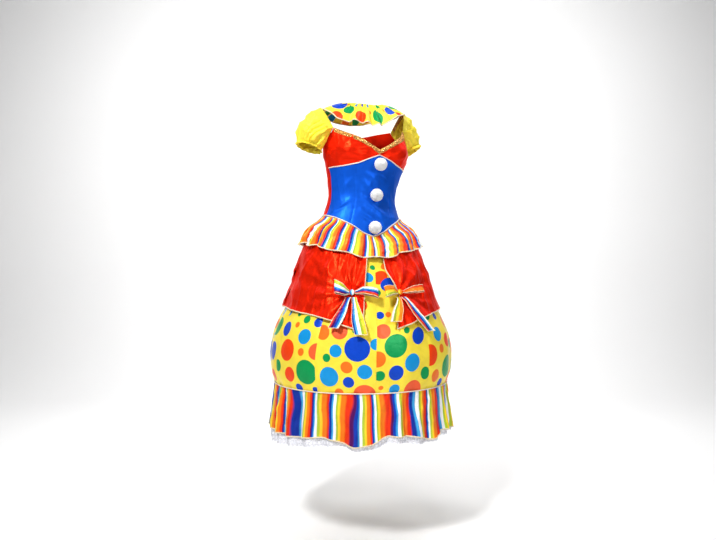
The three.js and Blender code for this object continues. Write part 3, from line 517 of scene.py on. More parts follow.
# Midriff: a pointed centre front and two side fronts of blue satin, princess-seamed to each
# other, with the cups above. It's cut close, so it drags in slanting creases from the waist.
blue_satin = satin(
    "blue_satin",
    (0.004, 0.09, 0.60),
    drift=0.1,
    crush=0.35,
    roughness=0.39,
    tint=(0.4, 0.65, 1),
    silk=0.4,
)
waist = both_sides(
    [(0, -468), (12, -455), (27, -430), (45, -411), (60, -400), (85, -392), (180, -398)]
)
PRINCESS = 31  # angle of each seam between the centre front and a side front
MIDRIFF_ARC = 1.9  # millimetres round the midriff for each degree
# Across is the arc from the centre front to the left. Columns as for the cups.
MIDRIFF_CREASES = [
    (-46, -232, 30, -292, 7, 1.5),
    (-30, -226, 52, -276, 5, -1.1),
    (-50, -262, 22, -330, 8, 1.6),
    (-52, -300, 26, -372, 9, -1.5),
    (-40, -330, 48, -402, 8, 1.9),
    (-54, -352, 12, -420, 6, 1.3),
    (-44, -384, 40, -440, 6, -1.3),
    (20, -300, 62, -352, 7, 1.0),
    (64, -240, 92, -318, 8, 1.2),
    (70, -300, 128, -368, 8, -1.2),
    (84, -330, 150, -392, 7, 1.3),
    (96, -236, 158, -286, 7, 1.1),
    (-64, -250, -118, -320, 8, 1.1),
    (-62, -322, -140, -384, 8, 1.4),
    (-76, -350, -150, -398, 6, -1.1),
    (-92, -232, -156, -300, 8, -1.0),
]
for name, node_name, first, last, cut, area in (
    ("midriff_centre", "bodice_centre_front", -PRINCESS, PRINCESS, (0.155, 0.285), 0.038),
    ("midriff_left", "bodice_side_front_left", PRINCESS, SIDE_SEAM, (0.12, 0.205), 0.0215),
    ("midriff_right", "bodice_side_front_right", -SIDE_SEAM, -PRINCESS, (0.12, 0.205), 0.0215),
):
    u, v = grid(44, 60)
    angle = mix(first, last, u)
    z = mix(waist(angle) + SEAM_GAP / 2, underbust(angle) - SEAM_GAP / 2, v)
    across = angle * MIDRIFF_ARC
    height = 2.2 * creases(across, z, MIDRIFF_CREASES) * mix(0.45, 1, bump(angle + 6, 34))
    height += unevenness(across, z, 5, 70, 0.5)
    height += crumples(across * 1.5, z * 0.5, 6, 50, 1.6) * mix(0.4, 1, bump(across, 70))
    # Each princess seam pulls in and puckers a little.
    for seam in (-PRINCESS, PRINCESS):
        off = (angle - seam) * MIDRIFF_ARC
        pucker = 0.16 * np.sin(z * 2 * math.pi / 19 + seam)
        height += bump(off, 12) * pucker - 0.8 * bump(off, 2.6)
    height = height * smooth((1 - v) / 0.06) * smooth(v / 0.05)
    points = raised(bodice_point(angle, z), height)
    piece = cloth_piece(name, points)
    dress_piece(piece, blue_satin, "blue_satin", node_name, flat=cut, area=area, held="stretched")

# Bodice back: two panels of red satin from the side seams to the zip in the centre back, up to
# the back neckline in one piece. They're cut as close as the front.
# Across is the arc from the side seam to the zip, the same on both sides.
BACK_CREASES = [
    (10, -250, 70, -300, 8, 1.3),
    (20, -300, 100, -360, 9, -1.3),
    (60, -330, 150, -384, 8, 1.6),
    (4, -200, 60, -170, 8, 1.2),
    (90, -130, 150, -160, 9, 1.2),
    (100, -220, 160, -262, 8, 1.1),
    (40, -120, 90, -210, 9, -1.1),
    (10, -330, 60, -392, 7, 1.2),
]
BACK_ARC = 1.8  # millimetres round the back for each degree
ZIP_WIDTH = 6
BACK_RADIUS = 88  # from the bodice's middle to the zip at its top
zip_half = seam_angle(BACK_RADIUS, ZIP_WIDTH)
ZIP_SEAM = 172  # distance from the side seam at which the back puckers beside the zip


def back_top(angle):
    near = round_angle(angle)
    neck = curve([(116, -78), (140, -80), (180, -90)], 1)
    return np.where(near < BACK_CORNER, armhole(near) - SEAM_GAP, neck(near))


def back_height(angle, v):
    """The height up the back: v from 0 to 1 is below the underbust seam's level, 1 to 2 above."""
    below = mix(waist(angle) + SEAM_GAP / 2, underbust(angle) - SEAM_GAP / 2, np.minimum(v, 1))
    above = mix(underbust(angle) + SEAM_GAP / 2, back_top(angle), v - 1)
    return np.where(v <= 1, below, above)


for sign in (1, -1):
    first, last = side_range(sign, SIDE_SEAM, 180 - zip_half - seam_angle(BACK_RADIUS, 2 * SEAM_GAP))
    u, v = grid(60, 80, 0, 2)
    angle = mix(first, last, u)
    z = back_height(angle, v)
    across = (round_angle(angle) - SIDE_SEAM) * BACK_ARC
    height = creases(across, z, BACK_CREASES)
    height += unevenness(across, z, 21 + sign, 80, 0.6)
    height -= 0.7 * bump(across, 1.8)
    height += 0.5 * np.sin(z * 2 * math.pi / 13) * bump(across - ZIP_SEAM, 10)
    height = height * smooth((2 - v) / 0.06) * smooth(v / 0.05)
    points = raised(bodice_point(angle, z), height)
    piece = cloth_piece(f"back_{side_name(sign)}", points)
    dress_piece(
        piece,
        red_satin,
        "red_satin",
        f"bodice_back_{side_name(sign)}",
        flat=(0.20, 0.33),
        area=0.060,
        held="stretched",
    )

# Zip: a red nylon coil zip sewn into the centre back, with a plated slider and pull tab. The
# coil is two rows of teeth on a narrow woven tape.
zip_tape = satin("zip_tape", (0.42, 0.02, 0.012), drift=0.05, crush=0.1, roughness=0.6)
u, v = grid(8, 150, 0, 2)
angle = 180 + (u * 2 - 1) * zip_half
z = back_height(180.0, v) + 0 * u
zip_points = bodice_point(angle, z)
zip_back = cloth_piece("zip_tape", raised(zip_points, -0.5 + 0 * z), thick=0.5)
dress_piece(zip_back, zip_tape, "zip_tape", "zip_coil")
TOOTH = (1.5, 1.0, 0.9)  # across, up the tape and out of it
TOOTH_PITCH = 1.6
TOOTH_SIDES = 8
TOOTH_ASIDE = 0.7  # each row's distance from the zip's middle
middle = zip_points[:, zip_points.shape[1] // 2]
length = np.concatenate([[0], np.cumsum(np.linalg.norm(np.diff(middle, axis=0), axis=1))])
stations = np.arange(2, length[-1] - 2, TOOTH_PITCH / 2)
up = np.gradient(middle, axis=0)
up /= np.linalg.norm(up, axis=1, keepdims=True)
left = zip_points[:, 0] - zip_points[:, -1]
left /= np.linalg.norm(left, axis=1, keepdims=True)
verts, faces = [], []
for count, station in enumerate(stations):
    centre = np.array([np.interp(station, length, middle[:, k]) for k in range(3)])
    axis_up = np.array([np.interp(station, length, up[:, k]) for k in range(3)])
    axis_left = np.array([np.interp(station, length, left[:, k]) for k in range(3)])
    out = np.cross(axis_left, axis_up)
    side = TOOTH_ASIDE if count % 2 else -TOOTH_ASIDE
    start = len(verts)
    for k in range(TOOTH_SIDES):
        turn = 2 * math.pi * k / TOOTH_SIDES
        for share in (-1, 1):
            verts.append(
                centre
                + axis_left * (side + share * TOOTH[0] / 2)
                + axis_up * math.sin(turn) * TOOTH[1] / 2
                + out * (0.1 + math.cos(turn) * TOOTH[2] / 2)
            )
    for k in range(TOOTH_SIDES):
        a, b = start + 2 * k, start + 2 * ((k + 1) % TOOTH_SIDES)
        faces.append((a, b, b + 1, a + 1))
    faces.append(tuple(start + 2 * k for k in range(TOOTH_SIDES))[::-1])
    faces.append(tuple(start + 2 * k + 1 for k in range(TOOTH_SIDES)))
teeth = mesh_object("zip_teeth", np.array(verts), faces, smooth_faces=False)


def ramp_between(tree, shader, share, dark, light, ends=(0.0, 1.0)):
    """Colours a material between two colours, by a share that changes over its surface."""
    ramp = node(tree, "ShaderNodeValToRGB", {"Fac": share})
    for stop, position, color in zip(ramp.color_ramp.elements, ends, (dark, light)):
        stop.position = position
        stop.color = (*color, 1)
    tree.links.new(ramp.outputs["Color"], shader.inputs["Base Color"])


nylon, tree, shader = new_material("zip_nylon", {"Roughness": 0.35})
grain = fine_noise(tree, 900.0, 2.0)
ramp_between(tree, shader, grain.outputs["Fac"], (0.40, 0.015, 0.01), (0.60, 0.04, 0.02))
dress_piece(teeth, nylon, "zip_tape")
plated, tree, shader = new_material(
    "zip_metal", {"Base Color": (0.72, 0.72, 0.74, 1), "Metallic": 1.0}
)
scuff = fine_noise(tree, 420.0, 4.0)
scuffed = node(
    tree, "ShaderNodeMapRange", {"Value": scuff.outputs["Fac"], "To Min": 0.16, "To Max": 0.42}
)
tree.links.new(scuffed.outputs["Result"], shader.inputs["Roughness"])
relief(tree, shader, scuff.outputs["Fac"], 0.15, 0.0002)
for name in ("zip_slider", "zip_pull"):
    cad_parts[name].data.materials.clear()
    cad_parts[name].data.materials.append(plated)

# Bubble skirt: ten gores of yellow satin printed with coloured dots, sewn edge to edge from the
# waist and drawn in by gathers at the seam over the flounce. Each gore is cut from the print by
# itself, so dots are cut at the seams.
# Columns: height, half-width, depth to the front and depth to the back.
SKIRT = [
    (-400, 157, 112, 124),
    (-440, 182, 128, 150),
    (-490, 199, 152, 176),
    (-537, 213, 178, 199),
    (-600, 232, 211, 223),
    (-656, 249, 236, 243),
    (-706, 267, 262, 264),
    (-740, 286, 280, 284),
    (-808, 313, 302, 308),
    (-872, 323, 311, 317),
    (-930, 320, 308, 314),
    (-973, 308, 298, 303),
]
skirt_side, skirt_front, skirt_rear = curve(SKIRT, 1), curve(SKIRT, 2), curve(SKIRT, 3)
BUBBLE_SEAM = -973
SPRING = 45  # drop below the waist seam over which a layer leaves the bodice's line
NEAR = 110  # the layers share their rows down to this drop
BUBBLE_RADIUS = 305
GORE_ARC = 5.3  # millimetres round the bubble for each degree, where it is fullest


def skirt_point(angle, z, outward):
    share = smooth((waist(angle) - z) / SPRING)
    a = np.radians(angle)
    start_left, start_front = bodice_oval(z, angle)
    left = skirt_side(z) * np.sin(a)
    front = np.where(np.cos(a) > 0, skirt_front(z), skirt_rear(z)) * np.cos(a)
    return stand(
        mix(start_left, left, share) + outward * np.sin(a),
        mix(start_front, front, share) + outward * np.cos(a),
        z,
    )


def layer_height(angle, v, hem):
    """Heights of a skirt layer: v is 0 at the waist seam, -1 at the drop NEAR, -2 at the hem."""
    top = waist(angle) - SEAM_GAP / 2
    return np.where(v >= -1, top + v * NEAR, mix(top - NEAR, hem, -1 - v))


def swayed(angle, count, sway, slow, start=0):
    """Turns of count even folds round the body, led and lagged so that no two are alike."""
    return np.radians(angle * count + sway * np.sin(np.radians(angle * slow + start)))


# The printed dots, charted one by one. Columns: strip of the print, place across it and up from the
# bubble's seam, radius, then colour: r red, c red lightened as a painted highlight, o orange,
# g green, b royal, l light blue.
STRIP = 260  # width of print kept for each charted gore
DOTS = [
    (0, -60, 250, 24, "r"), (0, -80, 160, 30, "g"), (0, -66, 40, 36, "r"), (0, -20, 110, 40, "b"),
    (0, -12, 28, 20, "o"), (0, -10, 210, 18, "o"), (0, 24, 262, 22, "l"), (0, 18, 168, 12, "l"),
    (0, 44, 205, 34, "g"), (0, 61, 34, 22, "r"), (0, 61, 119, 32, "b"),
    (1, -86, 252, 12, "l"), (1, -83, 72, 20, "g"), (1, -59, 197, 25, "b"), (1, -30, 129, 36, "r"),
    (1, -16, 254, 9, "g"), (1, -14, 50, 25, "r"), (1, -6, 217, 10, "o"), (1, 24, 9, 14, "b"),
    (1, 28, 240, 14, "g"), (1, 40, 130, 13, "o"), (1, 42, 182, 26, "l"), (1, 63, 66, 41, "g"),
    (1, 79, 237, 18, "b"), (1, 90, 7, 11, "b"), (1, 99, 138, 28, "c"), (1, -40, 290, 26, "o"),
    (2, -81, 186, 23, "o"), (2, -59, 111, 13, "g"), (2, -51, 53, 31, "l"), (2, -31, 135, 20, "l"),
    (2, -48, 239, 7, "o"), (2, -26, 199, 27, "c"), (2, -20, 2, 15, "o"), (2, 6, 87, 19, "o"),
    (2, 12, 39, 18, "b"), (2, 21, 205, 6, "g"), (2, 37, 149, 41, "b"), (2, 46, 407, 18, "l"),
    (2, 47, 367, 9, "o"), (2, 58, 449, 9, "g"), (2, 61, -4, 36, "c"), (2, 63, 75, 24, "l"),
    (2, 96, 169, 20, "l"), (2, -10, 260, 24, "g"), (2, 26, 300, 26, "r"), (2, -60, 300, 20, "b"),
    (3, -96, 118, 27, "o"), (3, -88, 62, 17, "g"), (3, -81, 20, 8, "o"), (3, -74, 211, 26, "c"),
    (3, -76, 270, 14, "b"), (3, -74, 354, 14, "g"), (3, -56, 410, 26, "r"), (3, -48, 268, 10, "o"),
    (3, -35, 12, 18, "l"), (3, -34, 68, 25, "b"), (3, -34, 157, 39, "g"), (3, -34, 378, 24, "b"),
    (3, -34, 449, 13, "o"), (3, 8, 201, 11, "g"), (3, 24, 95, 29, "l"), (3, 32, 5, 33, "c"),
    (3, 53, 175, 27, "b"), (3, 80, 55, 20, "g"), (3, 36, 262, 24, "r"), (3, 84, 240, 16, "l"),
    (4, -94, 118, 37, "r"), (4, -63, 44, 22, "o"), (4, -38, 183, 25, "l"), (4, -25, 132, 15, "o"),
    (4, -12, 244, 13, "b"), (4, 17, 67, 38, "g"), (4, 28, 155, 24, "r"), (4, 52, 215, 22, "r"),
    (4, 73, 137, 16, "g"), (4, -22, 16, 14, "b"), (4, 70, 20, 24, "c"), (4, -70, 262, 24, "g"),
    (4, 86, 276, 20, "b"), (4, 20, 286, 16, "o"),
    (7, -455, 15, 10, "b"), (7, -440, 80, 18, "o"), (7, -400, 40, 24, "g"), (7, -350, 75, 20, "l"),
    (7, -330, 30, 18, "r"), (7, -285, 70, 20, "g"), (7, -242, 80, 12, "g"), (7, -203, 40, 26, "b"),
    (7, -171, 86, 19, "r"), (7, -150, 42, 20, "g"), (7, -176, 20, 8, "o"), (7, -132, 12, 9, "l"),
    (7, -88, 10, 9, "b"), (7, -84, 68, 23, "r"), (7, -44, 12, 10, "l"), (7, -34, 42, 8, "o"),
    (7, 8, 60, 29, "g"), (7, 44, 14, 12, "g"), (7, 62, 40, 9, "o"), (7, 104, 52, 22, "b"),
    (7, 142, 84, 14, "r"), (7, 176, 42, 24, "g"), (7, 225, 20, 12, "l"), (7, 230, 72, 20, "r"),
    (7, 280, 45, 23, "b"), (7, 325, 80, 16, "o"), (7, 336, 25, 17, "g"), (7, 382, 60, 24, "r"),
    (7, 420, 20, 14, "l"), (7, 444, 72, 20, "g"),
]
DOT_COLORS = {
    "r": (0.86, 0.055, 0.006),
    # Painted highlight: a lighter red for some of the red dots.
    "c": (0.88, 0.11, 0.035),
    "o": (0.87, 0.17, 0.015),
    "g": (0.003, 0.29, 0.075),
    "b": (0.004, 0.055, 0.50),
    "l": (0.008, 0.28, 0.66),
}
PRINT_YELLOW = (0.90, 0.71, 0.055)
dot_print, dots_in, dots_out = shader_group(
    "dot_print", [("Cloth", "Vector", None)], [("Color", "Color")]
)
painted = node(dot_print, "ShaderNodeRGB")
painted.outputs[0].default_value = (*PRINT_YELLOW, 1)
painted = painted.outputs[0]
DOT_EDGE = 0.0006  # half the width over which the ink runs out, in metres
for strip, across, up, radius, color in DOTS:
    centre = ((strip * STRIP + across) / 1000, up / 1000, 0)
    far = node(
        dot_print,
        "ShaderNodeVectorMath",
        {0: dots_in.outputs["Cloth"], 1: centre},
        operation="DISTANCE",
    )
    inside = node(
        dot_print,
        "ShaderNodeMapRange",
        {
            "Value": far.outputs["Value"],
            "From Min": radius / 1000 - DOT_EDGE,
            "From Max": radius / 1000 + DOT_EDGE,
            "To Min": 1.0,
            "To Max": 0.0,
        },
    )
    painted = node(
        dot_print,
        "ShaderNodeMix",
        {0: inside.outputs["Result"], 6: painted, 7: (*DOT_COLORS[color], 1)},
        data_type="RGBA",
    ).outputs[2]
dot_print.links.new(painted, dots_out.inputs["Color"])


def printed(print_group):
    """A satin's colour from a print that lies on the flat cloth."""

    def color(tree):
        cloth = node(tree, "ShaderNodeUVMap", uv_map="flat")
        ink = node(
            tree, "ShaderNodeGroup", {"Cloth": cloth.outputs["UV"]}, node_tree=print_group
        )
        return ink.outputs["Color"]

    return color


dotted_satin = satin("dotted_satin", printed(dot_print), drift=0.07, crush=0.9)
GORE_STRIPS = [3, 4, 1, 2, 0, 3, 1, 0, 1, 2]  # strip of the print that each gore is cut from
for gore, strip in enumerate(GORE_STRIPS):
    u, v = grid(32, 56, -2, 0)
    first, last = gore * 36, (gore + 1) * 36
    angle = mix(first, last, u)
    z = layer_height(angle, v, BUBBLE_SEAM + SEAM_GAP)
    # Gathers at the foot, and long soft folds that come and go above them.
    down = smooth((z + 955) / -18)
    foot = 2.2 * smooth((z + 940) / -33) * (1 + np.cos(np.radians(angle * 30)))
    fine = np.cos(swayed(angle, 71, 40, 7))
    arc = np.radians(angle) * BUBBLE_RADIUS
    out = -foot + 0.8 * down * fine
    shown = smooth((-640 - z) / 90)
    out = out + unevenness(arc, z * 0.45, 31, 120, 2.2) * shown * smooth((z + 972) / 60)
    out = out + crumples(arc, z * 0.7, 33, 62, 1.5) * shown * smooth((z + 972) / 40)
    off = np.minimum(angle - first, last - angle) * GORE_ARC
    pucker = 0.3 * np.sin(z * 2 * math.pi / 17)
    out = out - (0.9 * bump(off, 2.2) - pucker * bump(off, 9)) * shown
    points = skirt_point(angle, z, out)
    half = np.radians(angle - (first + last) / 2) * (skirt_side(z) + skirt_front(z)) / 2
    rise = np.linalg.norm(np.diff(points, axis=0), axis=-1).mean(1)
    rise = np.concatenate([[0], np.cumsum(rise)])[:, None] + 0 * half
    if gore in (2, 3, 4, 5, 6):
        half, rise = -half, rise + 6  # the back gores are cut the other way up
    flat = np.stack([half + strip * STRIP, rise], -1) / 1000
    piece = cloth_piece(f"gore_{gore + 1}", points, flat)
    dress_piece(
        piece,
        dotted_satin,
        "dotted_satin",
        f"bubble_gore_{gore + 1}",
        flat=(0.212, 0.600),
        area=0.1,
    )

# Overskirt: two fronts and two backs of red satin, open in front and gathered to the waist. Each
# front is drawn up by a bow, with pleats that fan out from its knot. All free edges have a
# narrow rolled hem of cream thread.
OVERSKIRT_HEM = both_sides(
    [(8, -776), (16, -764), (23, -752), (33, -737), (48, -725), (90, -708), (180, -712)]
)
# Columns: height, then the angle of the open edge on the left and on the right.
FRONT_EDGE = [
    (-440, 6, 6),
    (-573, 8, 8),
    (-610, 11.5, 8.5),
    (-640, 15.5, 8.7),
    (-660, 17.5, 8.9),
    (-690, 15.5, 9),
    (-776, 12.5, 9),
]
front_edge = {1: curve(FRONT_EDGE, 1), -1: curve(FRONT_EDGE, 2)}
BOW_ANGLE, BOW_Z = 18, -656
TIE_PLEATS = 9
LAYER = 1.6  # from one layer of the skirt to the next
OVERSKIRT_RADIUS = 250
EDGE_ROWS = 53  # rows of an open edge from the hem to where the peplum covers it
ROLL_SIDES = 8


def tie_pleats(angle, z):
    """The height of the pleats' crests round both bows, and how much of it is reached."""
    crest, reached = 0, 0
    for sign in (1, -1):
        across = skirt_side(z) * np.radians(angle - sign * BOW_ANGLE)
        up = z - BOW_Z
        far = np.hypot(across, up) / 45
        size = 9 * far * np.exp(1 - far) * smooth((far - 0.1) / 0.5)
        turn = np.arctan2(up, across * sign)
        crest = crest + size
        reached = reached + size * (1 + np.cos(TIE_PLEATS * turn)) / 2
    return crest, reached


def fall_folds(angle, z):
    away = smooth((np.abs(angle) - 30) / 25)
    down = smooth((waist(angle) - z) / 200)
    line = np.cos(swayed(angle, 11, 14, 3))
    crest = 6 * away * down
    return crest, crest * (1 + line) / 2


def overskirt_out(drop):
    return LAYER + 0.3 + 6 * smooth((drop + 10) / 80)


def overskirt_point(angle, z, extra=0.0, on_crest=False):
    under = mix(0.15, 1, smooth((-490 - z) / 60))
    pick = 0 if on_crest else 1
    folds = (tie_pleats(angle, z)[pick] + fall_folds(angle, z)[pick]) * under
    return skirt_point(angle, z, overskirt_out(waist(angle) - z) + folds + extra)


def small_pleats(angle, z):
    """Finer pleats and drag lines between the main ones, which fan out from the knots."""
    height = 0
    for sign in (1, -1):
        across = skirt_side(z) * np.radians(angle - sign * BOW_ANGLE)
        up = z - BOW_Z
        far = np.hypot(across, up)
        turn = np.arctan2(up, across * sign)
        size = 2.4 * smooth((far - 8) / 25) * np.exp(-far / 80)
        height = height + size * np.cos(23 * turn + 1.5 * np.sin(3 * turn) + far / 60)
        long = 2.4 * smooth((far - 30) / 60) * np.exp(-far / 170)
        height = height + long * np.cos(14 * turn + 2.2 * np.sin(2 * turn))
    return height


# Long creases of the fronts, as on the left. Across is the arc from the centre front.
OVERSKIRT_CREASES = [
    (96, -664, 250, -548, 12, 1.8),
    (100, -672, 262, -610, 12, -1.6),
    (104, -690, 280, -690, 14, 1.6),
    (150, -520, 236, -660, 10, 1.5),
    (70, -520, 96, -610, 8, 1.6),
    (110, -500, 128, -600, 9, -1.4),
    (250, -500, 330, -640, 12, 1.6),
    (200, -560, 214, -700, 11, -1.5),
]


def edge_roll(name, line, half_height=2.1, half_depth=1.4, ring=False):
    """A rolled hem along a piece's edge, as a narrow tube round the edge's points."""
    line = np.asarray(line)
    along = np.gradient(line, axis=0)
    if ring:
        along = (np.roll(line, -1, 0) - np.roll(line, 1, 0)) / 2
    along = along / np.linalg.norm(along, axis=1, keepdims=True)
    first = np.cross(along, np.array([0, 0, 1.0]) + 0.001 * along[0])
    first = first / np.linalg.norm(first, axis=1, keepdims=True)
    second = np.cross(along, first)
    count = len(line)
    turns = 2 * math.pi * np.arange(ROLL_SIDES) / ROLL_SIDES
    beat = 1 + 0.12 * np.sin(np.arange(count) * 1.9)
    verts = (
        line[:, None]
        + first[:, None] * (np.cos(turns)[None, :, None] * half_depth * beat[:, None, None])
        + second[:, None] * (np.sin(turns)[None, :, None] * half_height * beat[:, None, None])
    )
    j, i = np.mgrid[0 : count if ring else count - 1, 0:ROLL_SIDES].reshape(2, -1)
    beyond, around = (j + 1) % count, (i + 1) % ROLL_SIDES
    corners = [(j, i), (j, around), (beyond, around), (beyond, i)]
    faces = np.stack([row * ROLL_SIDES + side for row, side in corners], -1).tolist()
    if not ring:
        faces.append(list(range(ROLL_SIDES))[::-1])
        faces.append([(count - 1) * ROLL_SIDES + k for k in range(ROLL_SIDES)])
    piece = mesh_object(name, verts.reshape(-1, 3), faces)
    piece.data.materials.append(hem_thread)
    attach(piece, "dress")
    return piece


# Cream overlock thread, tightly wound over the rolled edge.
hem_thread, tree, shader = new_material("hem_thread", {"Roughness": 0.5, "Sheen Weight": 0.3})
winding = fine_noise(tree, 700.0, 2.0)
ramp_between(tree, shader, winding.outputs["Fac"], (0.55, 0.40, 0.20), (0.95, 0.84, 0.62))
relief(tree, shader, winding.outputs["Fac"], 0.6, 0.0006)


def crushed(height, arc, z, seed, rise):
    """A height of the overskirt's cloth with its sharp crumples and slow rises added."""
    height = height + crumples(arc, z * 0.8, seed + 2, 52, 2.4)
    height = height + crumples(arc * 1.3, z * 0.22, seed + 6, 60, 3.0)
    return height + unevenness(arc, z, seed, 110, rise)


for sign in (1, -1):
    u, v = grid(140, 80, -2, 0)
    along = u if sign > 0 else 1 - u
    share = along * mix(0.55, 1, along)
    angle = mix(float(front_edge[sign](-573)), 90, share)
    for _ in range(4):
        z = layer_height(angle, v, OVERSKIRT_HEM(angle))
        angle = mix(front_edge[sign](z), 90, share)
    z = layer_height(angle, v, OVERSKIRT_HEM(angle))
    shown = smooth((-500 - z) / 40)
    arc = np.radians(angle) * OVERSKIRT_RADIUS
    height = 2 * creases(arc, z, OVERSKIRT_CREASES) + small_pleats(angle, z)
    height = crushed(height, arc, z, 41 + sign, 2.4) * shown
    gathers = 0.5 * np.cos(swayed(angle, 60, 30, 9))
    height += gathers * smooth((waist(angle) - z) / 12) * (1 - shown)
    points = overskirt_point(sign * angle, z, height)
    piece = cloth_piece(f"overskirt_front_{side_name(sign)}_cloth", points)
    dress_piece(
        piece,
        red_satin,
        "red_satin",
        f"overskirt_front_{side_name(sign)}",
        flat=(0.44, 0.385),
        area=0.118,
    )
    edge_column = 0 if sign > 0 else -1
    line = np.concatenate([points[0][:: -sign], points[1:EDGE_ROWS, edge_column]])
    edge_roll(f"overskirt_hem_front_{side_name(sign)}", line)

for sign in (1, -1):
    first, last = side_range(sign, 90, 180)
    u, v = grid(110, 80, -2, 0)
    angle = mix(first, last, u)
    z = layer_height(angle, v, OVERSKIRT_HEM(angle))
    shown = smooth((-500 - z) / 40)
    arc = np.radians(round_angle(angle)) * OVERSKIRT_RADIUS
    height = 2 * creases(arc - 200, z, OVERSKIRT_CREASES)
    height = crushed(height, arc, z, 51 + sign, 2.6) * shown
    points = overskirt_point(angle, z, height)
    piece = cloth_piece(f"overskirt_back_{side_name(sign)}_cloth", points)
    dress_piece(
        piece,
        red_satin,
        "red_satin",
        f"overskirt_back_{side_name(sign)}",
        flat=(0.44, 0.33),
        area=0.115,
    )
    edge_roll(f"overskirt_hem_back_{side_name(sign)}", points[0])

# Peplum: a gathered frill of striped satin, cut straight and sewn into the pointed waist seam
# over the overskirt. It puffs out and has a rolled hem.
PEPLUM_HEM = both_sides([(0, -540), (20, -528), (45, -506), (85, -488), (180, -494)])
PEPLUM_WAVES = 21
PEPLUM_RADIUS = 200
PEPLUM_FULLNESS = 1.45  # how many times the cloth is longer than it looks
# The print's upright stripes. Columns: width on the cloth, how softly it runs into the next one
# and colour.
STRIPES = [
    (11, 1, (0.90, 0.89, 0.88)),
    (10, 4, (0.38, 0.52, 0.03)),
    (10, 5, (0.92, 0.64, 0.03)),
    (17, 6, (0.88, 0.20, 0.012)),
    (12, 3, (0.80, 0.035, 0.008)),
    (5, 2, (0.08, 0.006, 0.10)),
    (7, 3, (0.006, 0.045, 0.42)),
    (5, 2, (0.04, 0.34, 0.72)),
    (9, 1, (0.93, 0.92, 0.90)),
    (12, 4, (0.42, 0.54, 0.04)),
    (9, 4, (0.92, 0.60, 0.03)),
    (20, 6, (0.88, 0.20, 0.012)),
    (9, 3, (0.76, 0.03, 0.008)),
    (10, 3, (0.006, 0.03, 0.30)),
    (5, 2, (0.05, 0.36, 0.72)),
]
stripe_print, stripes_in, stripes_out = shader_group(
    "stripe_print", [("Cloth", "Vector", None)], [("Color", "Color")]
)
repeat = sum(row[0] for row in STRIPES)
apart = node(stripe_print, "ShaderNodeSeparateXYZ", {"Vector": stripes_in.outputs["Cloth"]})
turns = maths(stripe_print, "MULTIPLY", apart.outputs["X"], 1000 / repeat)
turns = maths(stripe_print, "FRACT", turns)
ramp = node(stripe_print, "ShaderNodeValToRGB", {"Fac": turns})
stops, start = [], 0
for width, soft, color in STRIPES:
    stops += [(start / repeat, color), ((start + width - soft) / repeat, color)]
    start += width
for count, (position, color) in enumerate(stops):
    stop = ramp.color_ramp.elements[count] if count < 2 else ramp.color_ramp.elements.new(position)
    stop.position = position
    stop.color = (*color, 1)
stripe_print.links.new(ramp.outputs["Color"], stripes_out.inputs["Color"])


striped_satin = satin(
    "striped_satin", printed(stripe_print), drift=0.1, crush=0.9, roughness=0.34
)


def half_way_round(columns, rows, back):
    """Angles and downward shares of the front or the back half of a frill."""
    u, v = grid(columns, rows)
    start = 90 if back else -90
    return mix(start, start + 180, u), 1 - v


def gathered_flat(points, fullness=1.0):
    """Each point's place on a frill's straight strip, in metres."""
    flat = lay_flat(points)
    along = flat[len(points) // 3, :, 0]
    # Gathers hide some of the cloth, so the stripes show at uneven widths.
    hidden = 0.011 * np.sin(along / 0.033) + 0.008 * np.sin(along / 0.019 + 1)
    strip = (along * fullness + hidden)[None]
    # The folds swing to and fro on their way down, and the stripes with them.
    up = flat[:, len(along) // 2, 1:2]
    sway = 0.004 * np.sin(along / 0.027 + 2)[None] + 0.003 * np.sin(up / 0.02 + along / 0.05)
    flat[:, :, 0] = strip + sway * up / up.max()
    return flat


for back in (False, True):
    angle, t = half_way_round(360, 22, back)
    z = mix(waist(angle) - SEAM_GAP / 2, PEPLUM_HEM(angle), t)
    wave = np.cos(swayed(angle, PEPLUM_WAVES, 26, 4, 20))
    off = LAYER + mix(0.6, 10, smooth(t / 0.35)) + t * t * (3 + 7 * wave)
    # Fine gathers at the seam run down and die out, between the large soft ones.
    fine = np.cos(swayed(angle, 83, 60, 11)) + 0.6 * np.cos(swayed(angle, 131, 50, 5))
    arc = np.radians(angle) * PEPLUM_RADIUS
    off = off + 1.3 * fine * smooth(t / 0.08) * (1 - smooth(t / 1.1))
    off = off + unevenness(arc, z * 2, 61, 60, 1.6) * smooth(t / 0.3)
    fold = np.abs(np.sin(swayed(angle, 15.5, 34, 6, 50)))
    off = off + 12 * (fold**0.5 - 0.75) * smooth(t / 0.4)
    off = off + crumples(arc, z * 1.2, 63, 30, 3.2) * smooth(t / 0.3)
    z = z + 4 * t * t * np.cos(swayed(angle, 13, 40, 5))
    points = skirt_point(angle, z, overskirt_out(waist(angle) - z) + off)
    name = "peplum_back" if back else "peplum_front"
    piece = cloth_piece(f"{name}_cloth", points, gathered_flat(points, PEPLUM_FULLNESS))
    dress_piece(piece, striped_satin, "striped_satin", name, flat=(0.80, 0.095))
    edge_roll(f"{name}_hem", points[0])

# Flounce: a deep gathered strip of the same striped satin, sewn to the foot of the bubble skirt.
# It hangs nearly straight in soft waves to a rolled hem that rises and dips.
# Columns: share down it, half-width, depth to the front and to the back, and depth of its waves.
FLOUNCE = [
    (0, 307, 297, 302, 1.5),
    (0.5, 313, 304, 308, 5),
    (1, 321, 313, 317, 9.5),
]
flounce_side, flounce_front = curve(FLOUNCE, 1), curve(FLOUNCE, 2)
flounce_rear, flounce_depth = curve(FLOUNCE, 3), curve(FLOUNCE, 4)
FLOUNCE_WAVES = 26
FLOUNCE_RADIUS = 310
